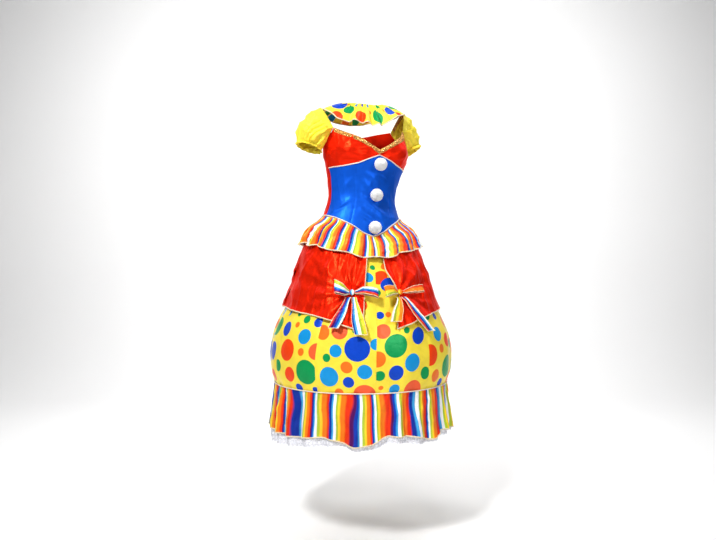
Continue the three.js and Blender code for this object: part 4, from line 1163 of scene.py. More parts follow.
# Columns: angle and height of the hem.
FLOUNCE_HEM_ROWS = [
    (-180, -1130), (-130, -1122), (-90, -1127), (-53, -1126), (-30, -1115), (-9, -1140),
    (8, -1109), (24, -1117), (39, -1137), (49, -1119), (75, -1129), (120, -1121), (180, -1130),
]
flounce_hem = curve(FLOUNCE_HEM_ROWS, 1)


def signed(angle):
    return (angle + 540) % 360 - 180


def flounce_point(angle, t, z, outward):
    wave = np.cos(swayed(angle, FLOUNCE_WAVES, 24, 5, 40))
    a = np.radians(angle)
    depth = np.where(np.cos(a) > 0, flounce_front(t), flounce_rear(t))
    out = flounce_depth(t) * wave + outward
    left = flounce_side(t) * np.sin(a) + out * np.sin(a)
    return stand(left, depth * np.cos(a) + out * np.cos(a), z)


for back in (False, True):
    angle, t = half_way_round(400, 24, back)
    hem = flounce_hem(signed(angle))
    z = mix(BUBBLE_SEAM - SEAM_GAP / 2, hem, t)
    fine = np.cos(swayed(angle, 91, 60, 11)) + 0.7 * np.cos(swayed(angle, 143, 50, 5))
    arc = np.radians(angle) * FLOUNCE_RADIUS
    out = 1.1 * fine * smooth(t / 0.05) * (1 - smooth(t / 0.8))
    out = out + unevenness(arc, z * 0.6, 71, 90, 2.2) * smooth(t / 0.3)
    fold = np.abs(np.sin(swayed(angle, 17.5, 40, 5, 20)))
    out = out + 8.5 * (fold**0.5 - 0.7) * smooth(t / 0.6)
    out = out + crumples(arc, z * 0.5, 73, 50, 3.2) * smooth(t / 0.2)
    # The hollows stay outside the petticoat.
    out = np.maximum(out, -0.5 - 4.2 * t)
    points = flounce_point(angle, t, z, out)
    name = "flounce_back" if back else "flounce_front"
    piece = cloth_piece(f"{name}_cloth", points, gathered_flat(points))
    dress_piece(piece, striped_satin, "striped_satin", name, flat=(1.25, 0.152))
    edge_roll(f"{name}_hem", points[0])

# Petticoat: white net with a scalloped lace edge, gathered into the flounce's seam and hanging
# just below it. Its hem dips to the dress's right.
LACE_HEM_ROWS = [
    (-180, -1158), (-90, -1174), (-52, -1160), (-22, -1142), (-9, -1157),
    (10, -1134), (35, -1149), (60, -1139), (90, -1144), (180, -1158),
]
lace_hem = curve(LACE_HEM_ROWS, 1)
PETTICOAT_RADIUS = 318
SCALLOP, SCALLOP_DEEP = 13, 3.2  # width and depth of one scallop of the lace
LACE_DEPTH = 32  # the lace border above the hem, with net above it
lace, tree, shader = new_material("white_lace", {"Roughness": 0.75})
cloth = node(tree, "ShaderNodeUVMap", uv_map="flat")
apart = node(tree, "ShaderNodeSeparateXYZ", {"Vector": cloth.outputs["UV"]})


def fades(tree, value, start, end, last=0.0):
    """1 where a value is under the start, falling to the last share at the end."""
    ranged = node(
        tree,
        "ShaderNodeMapRange",
        {"Value": value, "From Min": start, "From Max": end, "To Min": 1.0, "To Max": last},
    )
    return ranged.outputs["Result"]


net = node(
    tree,
    "ShaderNodeTexVoronoi",
    {"Vector": cloth.outputs["UV"], "Scale": 520.0, "Randomness": 0.25},
    feature="DISTANCE_TO_EDGE",
)
flowers = node(
    tree,
    "ShaderNodeTexVoronoi",
    {"Vector": cloth.outputs["UV"], "Scale": 1000 / SCALLOP, "Randomness": 0.15},
)
threads = fades(tree, net.outputs["Distance"], 0.10, 0.22, 0.3)
motif = fades(tree, flowers.outputs["Distance"], 0.34, 0.42)
border = fades(tree, apart.outputs["Y"], LACE_DEPTH / 1000 - 0.002, LACE_DEPTH / 1000 + 0.002)
picot = fades(tree, apart.outputs["Y"], 0.003, 0.0045)
cover = maths(tree, "MAXIMUM", maths(tree, "MULTIPLY", motif, border), picot)
cover = maths(tree, "MAXIMUM", cover, threads)
tree.links.new(cover, shader.inputs["Alpha"])
# Painted shade: the white net and lace are coloured a pale bluish grey, greyer where they are
# thinner.
ramp_between(tree, shader, cover, (0.52, 0.54, 0.64), (0.80, 0.80, 0.86))
relief(tree, shader, cover, 0.5, 0.0006)
for back in (False, True):
    angle, t = half_way_round(420, 20, back)
    hem = lace_hem(signed(angle))
    arc = np.radians(angle) * PETTICOAT_RADIUS
    at_edge = smooth((t - 0.93) / 0.07)
    scallops = SCALLOP_DEEP * np.abs(np.cos(math.pi * arc / SCALLOP)) * at_edge
    z = mix(BUBBLE_SEAM - 4, hem, t) + SCALLOP_DEEP * at_edge - scallops
    level = np.clip((BUBBLE_SEAM - z) / (BUBBLE_SEAM - flounce_hem(signed(angle))), 0, 1)
    out = -(LAYER + 5 * level) - SEAM_GAP
    ripple = np.cos(swayed(angle, 57, 40, 7))
    points = flounce_point(angle, level, z, out + 0.6 * (ripple - 1) * smooth(t / 0.3))
    flat = lay_flat(points)
    flat[:, :, 0] = flat[len(points) // 3, :, 0][None]
    name = "petticoat_back" if back else "petticoat_front"
    piece = cloth_piece(f"{name}_cloth", points, flat, thick=0.4)
    dress_piece(piece, lace, "white_lace", name, flat=(1.25, 0.178))

# Sleeves: short puffs of yellow satin, gathered into the armhole, with elastic above a narrow
# frill at the cuff. The left one reaches forward and the right one is lifted.
# Columns: share down the sleeve, how full it is, and how deep its gathers are.
PUFF = [
    (0, 0, 0.6),
    (0.1, 0.34, 0.9),
    (0.2, 0.66, 2.2),
    (0.45, 1, 3.4),
    (0.72, 0.86, 3),
    (1, 0, 1.2),
]
puff_full, puff_gather = curve(PUFF, 1), curve(PUFF, 2)
# Each cuff: how far out, forward and down it is, how it leans and swings, and how full the puff is.
CUFF_PLACE = {
    1: dict(out=202, front=-33, z=-133, lean=23, swing=15, full=16),
    -1: dict(out=208, front=-12, z=-147, lean=20, swing=0, full=27),
}
CUFF_ACROSS, CUFF_DEEP = 41, 46
FRILL_LENGTH, FRILL_OUT = 9, 5
SHOULDER = (171, -4, -11)  # to the left, to the front and up
SLEEVE_LEVEL = -90
SLEEVE_OFF = 1.5  # the sleeve's head stands off the armhole by this much
SLEEVE_GATHERS = 12
LOOP_SPLIT = 0.625  # share of the sleeve's inner edge that is sewn to the armhole
PUFF_END = 0.9
SLEEVE_ROUND = 330


def outside_share(loop):
    """0 at the armpit's side of the sleeve, 1 at its outer side."""
    return (1 - np.cos(2 * math.pi * (loop - LOOP_SPLIT / 2))) / 2


def sleeve_edge(sign, loop):
    turn = np.mod(loop, 1.0)
    angle = mix(NECK_CORNER, BACK_CORNER, np.minimum(turn / LOOP_SPLIT, 1))
    edge = bodice_point(sign * angle, armhole(angle) + SEAM_GAP / 2)
    a = np.radians(angle)
    off = stand(sign * np.sin(a), np.cos(a), 0 * a, SLEEVE_LEVEL)
    return edge + SLEEVE_OFF * (off - stand(0.0, 0.0, 0.0, SLEEVE_LEVEL))


def sleeve_loop(sign, loop):
    """The sleeve's inner edge: down the armhole, up to the back, and over the shoulder."""
    turn = np.mod(loop, 1.0)
    share = np.clip((turn - LOOP_SPLIT) / (1 - LOOP_SPLIT), 0, 1)[..., None]
    back = sleeve_edge(sign, np.array(LOOP_SPLIT))
    front = sleeve_edge(sign, np.array(0.0))
    top = stand(sign * SHOULDER[0], SHOULDER[1], float(SHOULDER[2]), SLEEVE_LEVEL)
    over = mix(back, front, share) + (top - mix(back, front, 0.5)) * np.sin(math.pi * share)
    return np.where((turn <= LOOP_SPLIT)[..., None], sleeve_edge(sign, loop), over)


def cuff_point(sign, loop, wider, down):
    cuff = CUFF_PLACE[sign]
    turn = 2 * math.pi * (loop - LOOP_SPLIT / 2)
    lean, swing = math.radians(cuff["lean"]), math.radians(cuff["swing"])
    inward = np.cos(turn) * (CUFF_ACROSS + wider)
    to_back = np.sin(turn) * (CUFF_DEEP + wider)
    out = cuff["out"] - inward * math.cos(lean) + down * math.sin(lean)
    front = cuff["front"] - to_back * math.cos(swing) + down * math.sin(swing)
    z = cuff["z"] - inward * math.sin(lean) - to_back * math.sin(swing) - down * math.cos(lean)
    return stand(sign * out, front, z, SLEEVE_LEVEL)


def sleeve_point(sign, loop, down, extra=0.0):
    s = np.clip(down / PUFF_END, 0, 1)
    frill = np.clip((down - PUFF_END) / (1 - PUFF_END), 0, 1)
    gather = np.cos(2 * math.pi * SLEEVE_GATHERS * loop)
    wider = FRILL_OUT * frill + gather * mix(1.2, 2.5, frill)
    end = cuff_point(sign, loop, wider, FRILL_LENGTH * frill)
    away = cuff_point(sign, loop, 100, 0) - cuff_point(sign, loop, 0, 0)
    away = away / np.linalg.norm(away, axis=-1, keepdims=True)
    outside = outside_share(loop)
    full = mix(1, CUFF_PLACE[sign]["full"], smooth(outside)) * puff_full(s)
    ripple = puff_gather(s) * gather * mix(0.3, 1, outside) * (1 - frill)
    start = sleeve_loop(sign, loop + 0 * s)
    return mix(start, end, s[..., None]) + away * (full + ripple + extra)[..., None]


yellow_satin = satin(
    "yellow_satin", (0.88, 0.73, 0.06), drift=0.1, crush=1.3, roughness=0.3, tint=(1, 0.95, 0.6)
)
for sign in (1, -1):
    u, v = grid(280, 44)
    loop = u if sign > 0 else -u
    down = 1 - v
    outside = outside_share(loop)
    fine = np.cos(2 * math.pi * 41 * loop + 3 * np.sin(2 * math.pi * 5 * loop))
    fine = fine + 0.7 * np.cos(2 * math.pi * 67 * loop + 2 * np.sin(2 * math.pi * 3 * loop))
    near_cuff = np.exp(-(((down - PUFF_END) / 0.13) ** 2)) * smooth((down - 0.1) / 0.2)
    near_head = smooth((down - 0.12) / 0.04) * np.exp(-(((down - 0.085) / 0.16) ** 2))
    extra = 2.2 * fine * (near_cuff + near_head) * mix(0.25, 1, outside)
    # Long folds run from the gathered head to the cuff.
    fold = np.abs(np.sin(math.pi * 23 * loop + 2.2 * np.sin(2 * math.pi * 4 * loop + 3 * down)))
    fold = 10 * (fold**0.6 - 0.7) * mix(0.1, 1, smooth(outside * 1.5))
    sharp = crumples(loop * SLEEVE_ROUND, down * 95, 85 + sign, 34, 6.5)
    fold = fold + sharp * mix(0.2, 1, outside)
    # They start below the braid.
    extra = extra + fold * smooth((down - 0.13) / 0.12) * smooth((1 - down) / 0.15)
    crumple = unevenness(loop * SLEEVE_ROUND, down * 50, 81 + sign, 34, 3.0)
    crumple = crumple * smooth((down - 0.1) / 0.2)
    extra = extra + crumple * np.sin(math.pi * np.clip(down, 0, 1)) * mix(0.15, 1, outside)
    extra = extra - 0.8 * bump(down - PUFF_END, 0.018)
    points = sleeve_point(sign, loop + 0 * down, down + 0 * loop, extra)
    flat = lay_flat(points)
    flat[:, :, 0] = flat[len(points) // 2, :, 0][None]
    piece = cloth_piece(f"sleeve_{side_name(sign)}_cloth", points, flat, ring=True)
    dress_piece(
        piece,
        yellow_satin,
        "yellow_satin",
        f"sleeve_{side_name(sign)}",
        flat=(0.42, 0.13),
        area=0.045,
    )

# Neck ruffle: a ring of the dotted satin, gathered on elastic at the neck, that lies over the
# shoulders in waves to a rolled hem.
# Columns: angle, radius and height at the neck, radius and height at the hem, depth of the waves.
RUFFLE = [
    (-180, 60, 26, 124, -36, 8),
    (-135, 62, 22, 135, -33, 8),
    (-105, 64, 15, 160, -27, 4),
    (-90, 64, 13, 168, -16.5, 2),
    (-75, 63, 12, 161, -32, 4),
    (-60, 61, 10, 143, -64, 11),
    (-38, 58, 7, 126, -68, 13),
    (0, 57, 4, 114, -78, 11),
    (20, 57, 5, 117, -66, 8),
    (45, 59, 8, 130, -44, 8),
    (75, 63, 12, 160, -28, 4),
    (90, 64, 13, 168, -17, 2),
    (105, 64, 15, 160, -27, 4),
    (135, 62, 22, 135, -33, 8),
    (180, 60, 26, 124, -36, 8),
]
RUFFLE_WAVES = 17
RUFFLE_STRIP = 7  # strip of the print that it is cut from
RUFFLE_ARC = 2.6  # millimetres of cloth for each degree
RUFFLE_DEEP = 90  # from the neck to the hem
u, v = grid(560, 24)
angle = u * 360 - 180
t = 1 - v
neck, neck_z, edge, edge_z, depth = (
    curve(RUFFLE, column)(signed(angle)) for column in range(1, 6)
)
wave = mix(1.2, depth, t) * np.cos(swayed(angle, RUFFLE_WAVES, 30, 3, 50))
fine = np.cos(swayed(angle, 71, 40, 13)) + 0.6 * np.cos(swayed(angle, 113, 40, 7))
fine = 2.2 * fine * smooth(t / 0.05) * (1 - smooth(t / 0.9))
arch = np.sin(math.pi * t) * 5
out = mix(neck, edge, t) + arch * 0.5 + wave * 0.8
z = mix(neck_z, edge_z, t) + arch + wave * 0.25 + fine
a = np.radians(angle)
points = stand(out * np.sin(a), out * np.cos(a), z, SLEEVE_LEVEL)
along = (RUFFLE_STRIP * STRIP + RUFFLE_ARC * angle + 0 * t) / 1000
flat = np.stack([along, RUFFLE_DEEP / 1000 * t + 0 * angle], -1)
piece = cloth_piece("neck_ruffle", points, flat, ring=True)
dress_piece(piece, dotted_satin, "dotted_satin", "collar", flat=(1.05, 0.09))
edge_roll("neck_ruffle_hem", points[0, :-1], ring=True)

# Gold trim: ruched braid with small sequins, about 16 mm wide, stitched over the neckline of the
# cups and the back, and over the gathered top edge of each sleeve between them.
BRAID_WIDTH = 16
BRAID_EASE = (1.05, 1.3)  # how many times longer and wider the braid is with its ruching let out
SEQUIN_SIDES, SEQUIN_RADIUS = 7, 1.15
gold, tree, shader = new_material("gold_braid", {"Metallic": 0.55, "Roughness": 0.34})
braid_place = node(tree, "ShaderNodeTexCoord")
cells = node(
    tree,
    "ShaderNodeTexVoronoi",
    {"Vector": braid_place.outputs["Object"], "Scale": 340.0, "Randomness": 0.8},
)
ramp_between(tree, shader, cells.outputs["Color"], (0.24, 0.065, 0.008), (0.90, 0.48, 0.11))
relief(tree, shader, cells.outputs["Distance"], 0.9, 0.0012)
gold_glint, tree, shader = new_material("gold_sequin", {"Metallic": 1.0, "Roughness": 0.22})
glint = fine_noise(tree, 260.0, 1.0)
ramp_between(
    tree, shader, glint.outputs["Fac"], (0.60, 0.22, 0.03), (0.98, 0.68, 0.28), (0.35, 0.65)
)
sequin_draw = np.random.default_rng(7)
SHOULDER_BRAID = (0.6458, 0.9792)  # shares of the sleeve's top edge where the braid ends
SHOULDER_DOWN = 0.085  # share of the sleeve's length that it covers


def braid(name, points, cad_node):
    """A ruched braid over the points that it lies on, with sequins stitched along it."""
    rows, columns = points.shape[:2]
    along = np.linalg.norm(np.diff(points[rows // 2], axis=0), axis=1)
    along = np.concatenate([[0], np.cumsum(along)])[None, :]
    v = np.linspace(0, 1, rows)[:, None]
    ruche = np.sin(2 * math.pi * along / 6.5 + 1.3 * np.sin(2 * math.pi * along / 23))
    ruche = ruche + 0.5 * np.sin(2 * math.pi * along / 4.1 + 5 * v)
    dome = 1 - (2 * v - 1) ** 4
    height = 0.9 + dome * (2.0 + 0.75 * ruche)
    laid = raised(points, height)
    piece = cloth_piece(name, laid, thick=0.7)
    dress_piece(
        piece,
        gold,
        "gold_braid",
        cad_node,
        flat=(float(along[0, -1]) / 1000 * BRAID_EASE[0], BRAID_WIDTH / 1000 * BRAID_EASE[1]),
    )
    out = directions(laid)
    verts, faces = [], []
    for _ in range(int(along[0, -1] * 1.5)):
        i = sequin_draw.integers(1, columns - 1)
        j = sequin_draw.integers(1, rows - 1)
        lean = out[j, i] + sequin_draw.normal(0, 0.32, 3)
        lean = lean / np.linalg.norm(lean)
        side = np.cross(lean, [0.3, 0.2, 1.0])
        side = side / np.linalg.norm(side)
        other = np.cross(lean, side)
        centre = laid[j, i] + out[j, i] * 0.45
        first = len(verts)
        for k in range(SEQUIN_SIDES):
            turn = 2 * math.pi * k / SEQUIN_SIDES
            rim = side * math.cos(turn) + other * math.sin(turn)
            verts.append(centre + rim * SEQUIN_RADIUS)
        verts.append(centre - lean * 0.3)
        for k in range(SEQUIN_SIDES):
            faces.append((first + k, first + (k + 1) % SEQUIN_SIDES, first + SEQUIN_SIDES))
    sequins = mesh_object(f"{name}_sequins", np.array(verts), faces, smooth_faces=False)
    dress_piece(sequins, gold_glint, "gold_braid")


for sign in (1, -1):
    u, v = grid(150, 8)
    angle = sign * mix(seam_angle(120), NECK_CORNER - 1.5, u if sign > 0 else 1 - u)
    z = neckline(angle) + 1 + (v - 1) * BRAID_WIDTH
    braid(
        f"gold_front_{side_name(sign)}",
        bodice_point(angle + 0 * v, z),
        f"braid_front_{side_name(sign)}",
    )
    u, v = grid(140, 8)
    first, last = side_range(sign, BACK_CORNER + 1.2, 180 - zip_half)
    angle = mix(first, last, u)
    z = back_top(angle) + 1 + (v - 1) * BRAID_WIDTH
    braid(
        f"gold_back_{side_name(sign)}",
        bodice_point(angle + 0 * v, z),
        f"braid_back_{side_name(sign)}",
    )
    u, v = grid(150, 8)
    loop = mix(*SHOULDER_BRAID, u if sign > 0 else 1 - u)
    down = SHOULDER_DOWN * (1 - v)
    braid(
        f"gold_shoulder_{side_name(sign)}",
        sleeve_point(sign, loop + 0 * down, down + 0 * loop),
        f"braid_shoulder_{side_name(sign)}",
    )

# Piping: cream satin bias over cord, caught in the underbust seam, the waist seam and the seam
# over the flounce. It stands up as a small round roll.
PIPING_WIDTH = 4.5
PIPING_SHOWN = 0.8 * PIPING_WIDTH  # of the rolls that lie across a seam
white_piping = satin(
    "white_piping", (0.80, 0.70, 0.56), drift=0.08, crush=0.3, roughness=0.4, depth=0.0008
)


def piping(name, points, proud, cad_node, ring=False):
    rows, columns = points.shape[:2]
    v = np.linspace(0, 1, rows)[:, None]
    beat = 0.10 * np.sin(np.arange(columns) * 0.9)[None, :]
    dome = np.sqrt(np.maximum(1 - (2 * v - 1) ** 2, 0))
    piece = cloth_piece(name, raised(points, CLOTH_THICK + dome * (proud + beat), ring), ring=ring)
    dress_piece(piece, white_piping, "white_piping", cad_node)


u, v = grid(220, 6)
angle = mix(-SIDE_SEAM, SIDE_SEAM, u)
points = bodice_point(angle, underbust(angle) + (v - 0.5) * PIPING_SHOWN)
piping("piping_round_underbust", points, 1.9, "piping_underbust")
u, v = grid(360, 6)
angle = u * 360
points = bodice_point(angle, waist(angle) + 0.6 + v * PIPING_WIDTH)
piping("piping_round_waist", points, 3.0, "piping_waist", ring=True)
points = skirt_point(angle, BUBBLE_SEAM + 0 * v, 1.2)
points[:, :, 2] = BUBBLE_SEAM + (v - 0.5) * PIPING_SHOWN
piping("piping_round_bubble", points, 1.5, "piping_bubble", ring=True)

# Bows: each is tied from a length of the striped satin, with two loops, a knot and two tails. It
# is sewn through the overskirt at its open edge and draws it up.
KNOT_WIDE, KNOT_TALL, KNOT_DEEP = 8, 10, 7
LOOP_NEAR = 60  # distance from the knot over which the loops clear the overskirt
LOOP_CLEAR = 2.3  # the gap that they keep from it there
RIBBON_ROLL = (1.0, 0.8)  # half-height and half-depth of the ribbon's rolled edge


def bow_frame(sign):
    def over(angle, z):
        return overskirt_point(np.array(float(angle)), np.array(float(z)))

    at = over(sign * BOW_ANGLE, BOW_Z)
    right = over(sign * BOW_ANGLE + 5, BOW_Z) - over(sign * BOW_ANGLE - 5, BOW_Z)
    right = right / np.linalg.norm(right)
    middle = np.array(float(sign * BOW_ANGLE))
    slope = skirt_point(middle, np.array(BOW_Z + 20.0), 0) - skirt_point(
        middle, np.array(BOW_Z - 20.0), 0
    )
    out = np.cross(right, slope / np.linalg.norm(slope))
    out = out / np.linalg.norm(out)
    return at, right, np.cross(out, right), out


def stand_out(sign, at, out, reach):
    """How far the overskirt stands out of a bow's own plane within a distance of the knot."""
    across, rise = np.meshgrid(np.linspace(-reach, reach, 13), np.linspace(-reach, reach, 13))
    angle = sign * BOW_ANGLE + np.degrees(across / skirt_side(BOW_Z))
    return ((overskirt_point(angle, BOW_Z + rise) - at) @ out).max()


def beside_knot(axes, across, rise, lift):
    """Points by their distances from a bow's knot: across, up and out of the cloth."""
    at, right, up, out = axes
    return at + right * across[..., None] + up * rise[..., None] + out * lift[..., None]


# A loop's path from the knot and back to it. Columns: share of the path, share of its reach, how
# far out it stands, and share of its width.
BOW_LOOP = [
    (0, 0, 3, 0.3),
    (0.2, 0.43, 15, 0.78),
    (0.42, 0.89, 18, 0.98),
    (0.5, 1, 12, 1),
    (0.58, 0.9, 6, 0.98),
    (0.8, 0.43, 3.5, 0.78),
    (1, 0, -1, 0.3),
]
# Columns: bow, which loop, reach, width, rise of its end, and the stripes at its foot and top.
LOOPS = [
    (-1, "inner", 84, 29, -13, 120, 160),
    (-1, "outer", 58, 44, 14, 56, 100),
    (1, "inner", 64, 36, -8, 86, 122),
    (1, "outer", 76, 24, 3, 108, 132),
]
# Columns: bow, which tail, sideways drift, length, width, how far off its top lies, and the
# stripes at its edges.
TAILS = [
    (-1, "inner", 36, 116, 38, 0.5, 138, 180),
    (-1, "outer", -32, 96, 32, 0.5, 54, 80),
    (1, "inner", -28, 76, 36, -0.2, 78, 118),
    (1, "outer", 84, 112, 36, 0.7, 118, 158),
]
# For each bow, the stripes round its knot.
KNOTS = {-1: (138, 166), 1: (92, 128)}
for sign in (1, -1):
    axes = bow_frame(sign)
    at, out = axes[0], axes[3]
    base = stand_out(sign, at, out, KNOT_DEEP) + 2 * SEAM_GAP + KNOT_DEEP
    clear = stand_out(sign, at, out, LOOP_NEAR) + LOOP_CLEAR
    name = side_name(sign)
    # The knot: a ball of pleated cloth with folds that run round it from top to bottom.
    u, v = grid(36, 18, 0.02, 0.98)
    turn, tilt = 2 * math.pi * u, math.pi * (v - 0.5)
    pleat = 1 + 0.05 * np.cos(9 * turn + 1.2 * np.sin(3 * tilt))
    sizes = (KNOT_WIDE * pleat, KNOT_TALL, KNOT_DEEP * pleat)
    points = beside_knot(
        axes,
        np.cos(tilt) * np.cos(turn) * sizes[0],
        np.sin(tilt) * sizes[1] + 0 * turn,
        base - np.cos(tilt) * np.sin(turn) * sizes[2],
    )
    stripes = mix(*KNOTS[sign], np.mod(u * 2, 1))
    flat = np.stack([(stripes + 0 * v) / 1000, (v * 26 + 0 * u) / 1000], -1)
    knot = cloth_piece(f"bow_{name}_knot_cloth", points, flat, ring=True)
    dress_piece(
        knot, striped_satin, "striped_satin", f"bow_{name}_knot", flat=(0.040, 0.025)
    )
    for bow, which, reach, width, rise, foot, top in LOOPS:
        if bow != sign:
            continue
        way = -sign if which == "inner" else sign
        u, v = grid(70, 18)
        s = u if way > 0 else 1 - u
        share = curve(BOW_LOOP, 1)(s)
        far = mix(KNOT_WIDE + 1, reach, share)
        lift = mix(base, max(base, clear + 2), smooth((far - 9) / 30))
        tall = (v - 0.5) * width * curve(BOW_LOOP, 3)(s) + rise * share * share
        crease = 0.9 * np.cos(2 * math.pi * (v * 4.5) + 1.3 * sign) * (1 - smooth(share / 0.8))
        crease = crease + 0.5 * np.cos(2 * math.pi * v * 2 + 2 + s * 5)
        crease = crease + unevenness(far, v * width * 0.7, 91 + sign * way, 24, 1.1)
        crease = crease + crumples(far, v * width * 1.6, 97 + sign * way, 22, 2.0)
        lifted = lift + curve(BOW_LOOP, 2)(s) + crease
        points = beside_knot(axes, way * far + 0 * v, tall, lifted)
        flat = lay_flat(points)
        # The stripes run along the ribbon.
        flat = np.stack([(mix(foot, top, v) + 0 * u) / 1000, flat[:, :, 0]], -1)
        loop = cloth_piece(f"bow_{name}_{which}_loop", points, flat)
        length = 2 * reach / 1000 + 0.02
        dress_piece(
            loop,
            striped_satin,
            "striped_satin",
            f"bow_{name}_loop_{which}",
            flat=(length, width / 1000),
            area=length * width / 1000 * 0.85,
        )
        for row in (0, -1):
            edge_roll(f"bow_{name}_{which}_loop_edge_{row % 2}", points[row], *RIBBON_ROLL)
    for bow, which, drift, length, width, off, near, away in TAILS:
        if bow != sign:
            continue
        u, v = grid(20, 56)
        down = 1 - v
        wide = mix(14, width, smooth(down * 1.4))
        drifted = drift * down * mix(0.8, 1, down) + math.copysign(9, drift)
        z = BOW_Z - 12 - length * down
        across = drifted + (u - 0.5) * wide
        angle = sign * BOW_ANGLE + np.degrees(across / skirt_side(z))
        flutter = 3 * down * (1 + np.cos(2 * math.pi * u))
        crease = 0.9 * (1 + np.cos(2 * math.pi * u * 4 + 1)) * (1 - smooth(down / 0.6))
        crease = crease + 0.8 * down * (1 + np.sin(down * 9 + u * 4))
        crease = crease + 1.2 + unevenness(u * width, down * length * 0.6, 95 + sign, 26, 1.2)
        crease = crease + crumples(u * width, down * length, 103 + sign, 26, 2.2) + 1.5
        extra = LAYER + mix(off, 1.2, down) + flutter + crease * smooth(down / 0.1)
        points = overskirt_point(angle, z + 0 * u, extra, on_crest=True)
        flat = np.stack(
            [(mix(near, away, u) + 0 * v) / 1000, (down * length + 0 * u) / 1000], -1
        )
        tail = cloth_piece(f"bow_{name}_{which}_tail", points, flat)
        dress_piece(
            tail,
            striped_satin,
            "striped_satin",
            f"bow_{name}_tail_{which}",
            flat=(width / 1000, (length + abs(drift) * 0.35) / 1000),
        )
        line = np.concatenate([points[::-1, 0], points[0, 1:], points[1:, -1]])
        edge_roll(f"bow_{name}_{which}_tail_edge", line, *RIBBON_ROLL)

# Pompoms: three balls of white wool, cut short and fluffy, sewn down the centre front.
POMPOM_RADIUS = 23.5
POMPOM_LOCKS = 2800
LOCK_THICK = 0.75
CORE_SHARE = 0.72  # of the radius, where the locks are tied
# Columns: height, and how far the ball stands off the cloth.
POMPOMS = [(-211, -0.4), (-320, 0.6), (-438, 0.4)]
white_wool, tree, shader = new_material(
    "white_wool",
    {
        "Roughness": 0.9,
        "Sheen Weight": 0.4,
        # Painted glow: the wool glows a little, though it is no lamp, so that it looks brighter.
        "Emission Color": (1, 1, 1, 1),
        "Emission Strength": 0.2,  # light scattered inside the ball
        "Subsurface Weight": 0.5,
        "Subsurface Radius": (1, 1, 1),
        "Subsurface Scale": 0.008,
    },
)
wool = fine_noise(tree, 380.0, 3.0)
ramp_between(tree, shader, wool.outputs["Fac"], (0.95, 0.95, 0.96), (1.0, 1.0, 1.0))
wool_draw = np.random.default_rng(23)
for count, (z, off) in enumerate(POMPOMS):
    foot = bodice_point(0.0, np.array(float(z)))
    left = stand(1.0, 0.0, float(z)) - stand(0.0, 0.0, float(z))
    up = bodice_point(0.0, np.array(z + 5.0)) - bodice_point(0.0, np.array(z - 5.0))
    up = up / np.linalg.norm(up)
    back = np.cross(up, left)
    back = back / np.linalg.norm(back)
    core = POMPOM_RADIUS * CORE_SHARE
    centre = foot - back * (core + off)
    way = wool_draw.normal(size=(POMPOM_LOCKS, 3))
    way = way / np.linalg.norm(way, axis=1, keepdims=True)
    # Wool pressed against the cloth is flattened.
    depth = way @ back
    reach = POMPOM_RADIUS * (0.93 + 0.07 * wool_draw.random(POMPOM_LOCKS))
    room = (core + off - SEAM_GAP) / np.maximum(depth, 0.05)
    reach = np.where(depth > 0.05, np.minimum(reach, room), reach)
    side = np.cross(way, wool_draw.normal(size=way.shape))
    side = side / np.linalg.norm(side, axis=1, keepdims=True)
    root = centre + way * core * 0.86
    tip = centre + way * reach[:, None] + side * wool_draw.normal(0, 0.7, (POMPOM_LOCKS, 1))
    other = np.cross(way, side)
    middle = mix(root, tip, 0.6) + other * wool_draw.normal(0, 0.5, (POMPOM_LOCKS, 1))
    corners = (
        side * LOCK_THICK,
        -side * LOCK_THICK * 0.5 + other * LOCK_THICK,
        -side * LOCK_THICK * 0.5 - other * LOCK_THICK,
    )
    verts = [end + corner for end in (root, middle) for corner in corners] + [tip]
    verts = np.stack(verts, 1).reshape(-1, 3)
    lock = [(0, 1, 4, 3), (1, 2, 5, 4), (2, 0, 3, 5), (3, 4, 6), (4, 5, 6), (5, 3, 6)]
    faces = [tuple(7 * k + i for i in face) for k in range(POMPOM_LOCKS) for face in lock]
    # The core of the ball, under the locks.
    u, v = grid(40, 20, 0.01, 0.99)
    turn, tilt = 2 * math.pi * u, math.pi * (v - 0.5)
    round_core = centre + 0.93 * core * np.stack(
        [np.cos(tilt) * np.cos(turn), np.cos(tilt) * np.sin(turn), np.sin(tilt) + 0 * turn], -1
    )
    start, rows, columns = len(verts), *round_core.shape[:2]
    verts = np.concatenate([verts, round_core.reshape(-1, 3)])
    j, i = np.mgrid[0 : rows - 1, 0 : columns - 1].reshape(2, -1)
    corners = [(j, i), (j, i + 1), (j + 1, i + 1), (j + 1, i)]
    faces += np.stack([start + row * columns + column for row, column in corners], -1).tolist()
    ball = mesh_object(f"wool_pompom_{count + 1}", verts, faces)
    # Light falls on the wool as on a soft round ball.
    facing = verts - centre
    facing = facing / np.linalg.norm(facing, axis=1, keepdims=True)
    facing = facing + wool_draw.normal(0, 0.3, facing.shape)
    facing = facing / np.linalg.norm(facing, axis=1, keepdims=True)
    ball.data.normals_split_custom_set_from_vertices(facing.tolist())
    dress_piece(ball, white_wool, "white_wool", f"pompom_{count + 1}")

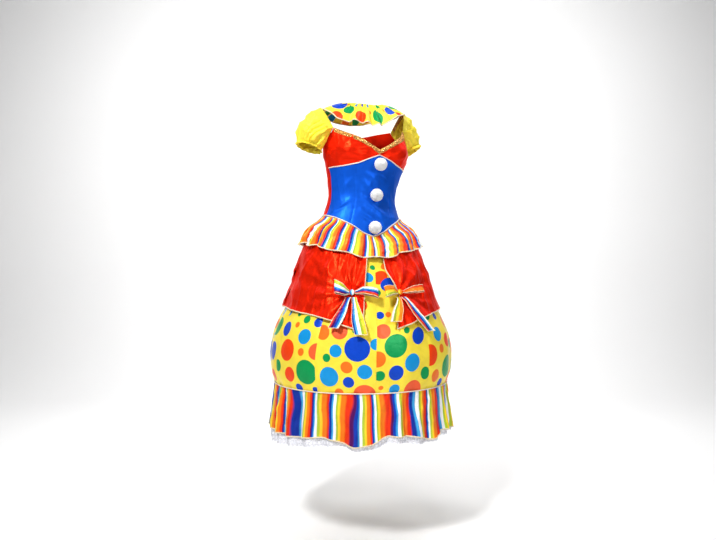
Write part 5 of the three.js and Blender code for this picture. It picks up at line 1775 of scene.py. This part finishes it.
# The studio: a plain pale floor that curves up into a backdrop, with one strong lamp to the
# camera's left and softer ones to its right, above, behind the dress and on the backdrop.
FLOOR_Z = -1.5
FLOOR_NEAR, FLOOR_FAR, FLOOR_CURVE = -4.0, 2.2, 1.2
BACKDROP_TOP, BACKDROP_HALF = 5.0, 6.0
profile = [(FLOOR_NEAR, 0.0), (FLOOR_FAR, 0.0)]
for step in range(1, 13):
    turn = step * math.pi / 24
    profile.append(
        (FLOOR_FAR + FLOOR_CURVE * math.sin(turn), FLOOR_CURVE - FLOOR_CURVE * math.cos(turn))
    )
profile.append((FLOOR_FAR + FLOOR_CURVE, BACKDROP_TOP))
spin = np.array([math.cos(CAMERA_TURN), math.sin(CAMERA_TURN)])
verts, faces = [], []
for far, rise in profile:
    for across in (-BACKDROP_HALF, BACKDROP_HALF):
        verts.append(
            (across * spin[0] - far * spin[1], across * spin[1] + far * spin[0], FLOOR_Z + rise)
        )
for k in range(len(profile) - 1):
    faces.append((2 * k, 2 * k + 1, 2 * k + 3, 2 * k + 2))
floor = mesh_object("studio_floor", np.array(verts) * 1000, faces)
paper, tree, shader = new_material("studio_paper", {"Roughness": 0.9})
fibre = fine_noise(tree, 2.0, 2.0)
ramp_between(tree, shader, fibre.outputs["Fac"], (0.95, 0.95, 0.95), (0.97, 0.97, 0.97))
floor.data.materials.append(paper)
# Columns: name, to the camera's right, towards the camera, height, size, power, then how far
# towards the camera and how high it is aimed.
LAMPS = [
    ("key", -1.0, 2.1, 1.3, 0.45, 92, 0, -0.6),
    ("fill", 1.8, 2.3, 0.3, 0.9, 26, 0, -0.6),
    ("top", 0.2, 0.9, 2.2, 1.0, 24, 0, -0.6),
    ("behind", 0.0, -2.2, 1.4, 1.4, 16, 0, -0.6),
    ("backdrop_left", -1.5, -0.9, 1.2, 1.6, 40, -3.2, 0),
    ("backdrop_right", 1.5, -0.9, 1.2, 1.6, 40, -3.2, 0),
]


def studio_place(across, near, height):
    return np.array(
        [across * spin[0] + near * spin[1], across * spin[1] - near * spin[0], height]
    )


for name, across, near, height, size, power, aim_near, aim_height in LAMPS:
    light = bpy.data.lights.new(name, "AREA")
    light.size = size
    light.energy = power
    lamp = bpy.data.objects.new(name, light)
    lamp.location = studio_place(across, near, height)
    aim = studio_place(0, aim_near, aim_height) - studio_place(across, near, height)
    lamp.rotation_euler = (
        math.acos(-aim[2] / np.linalg.norm(aim)),
        0,
        math.atan2(aim[1], aim[0]) - math.pi / 2,
    )
    bpy.context.scene.collection.objects.link(lamp)
world = bpy.data.worlds.new("studio")
world.use_nodes = True
world.node_tree.nodes["Background"].inputs["Color"].default_value = (1, 1, 1, 1)
world.node_tree.nodes["Background"].inputs["Strength"].default_value = 0.08
bpy.context.scene.world = world
bpy.context.scene.view_settings.view_transform = "Standard"

bpy.context.view_layer.update()
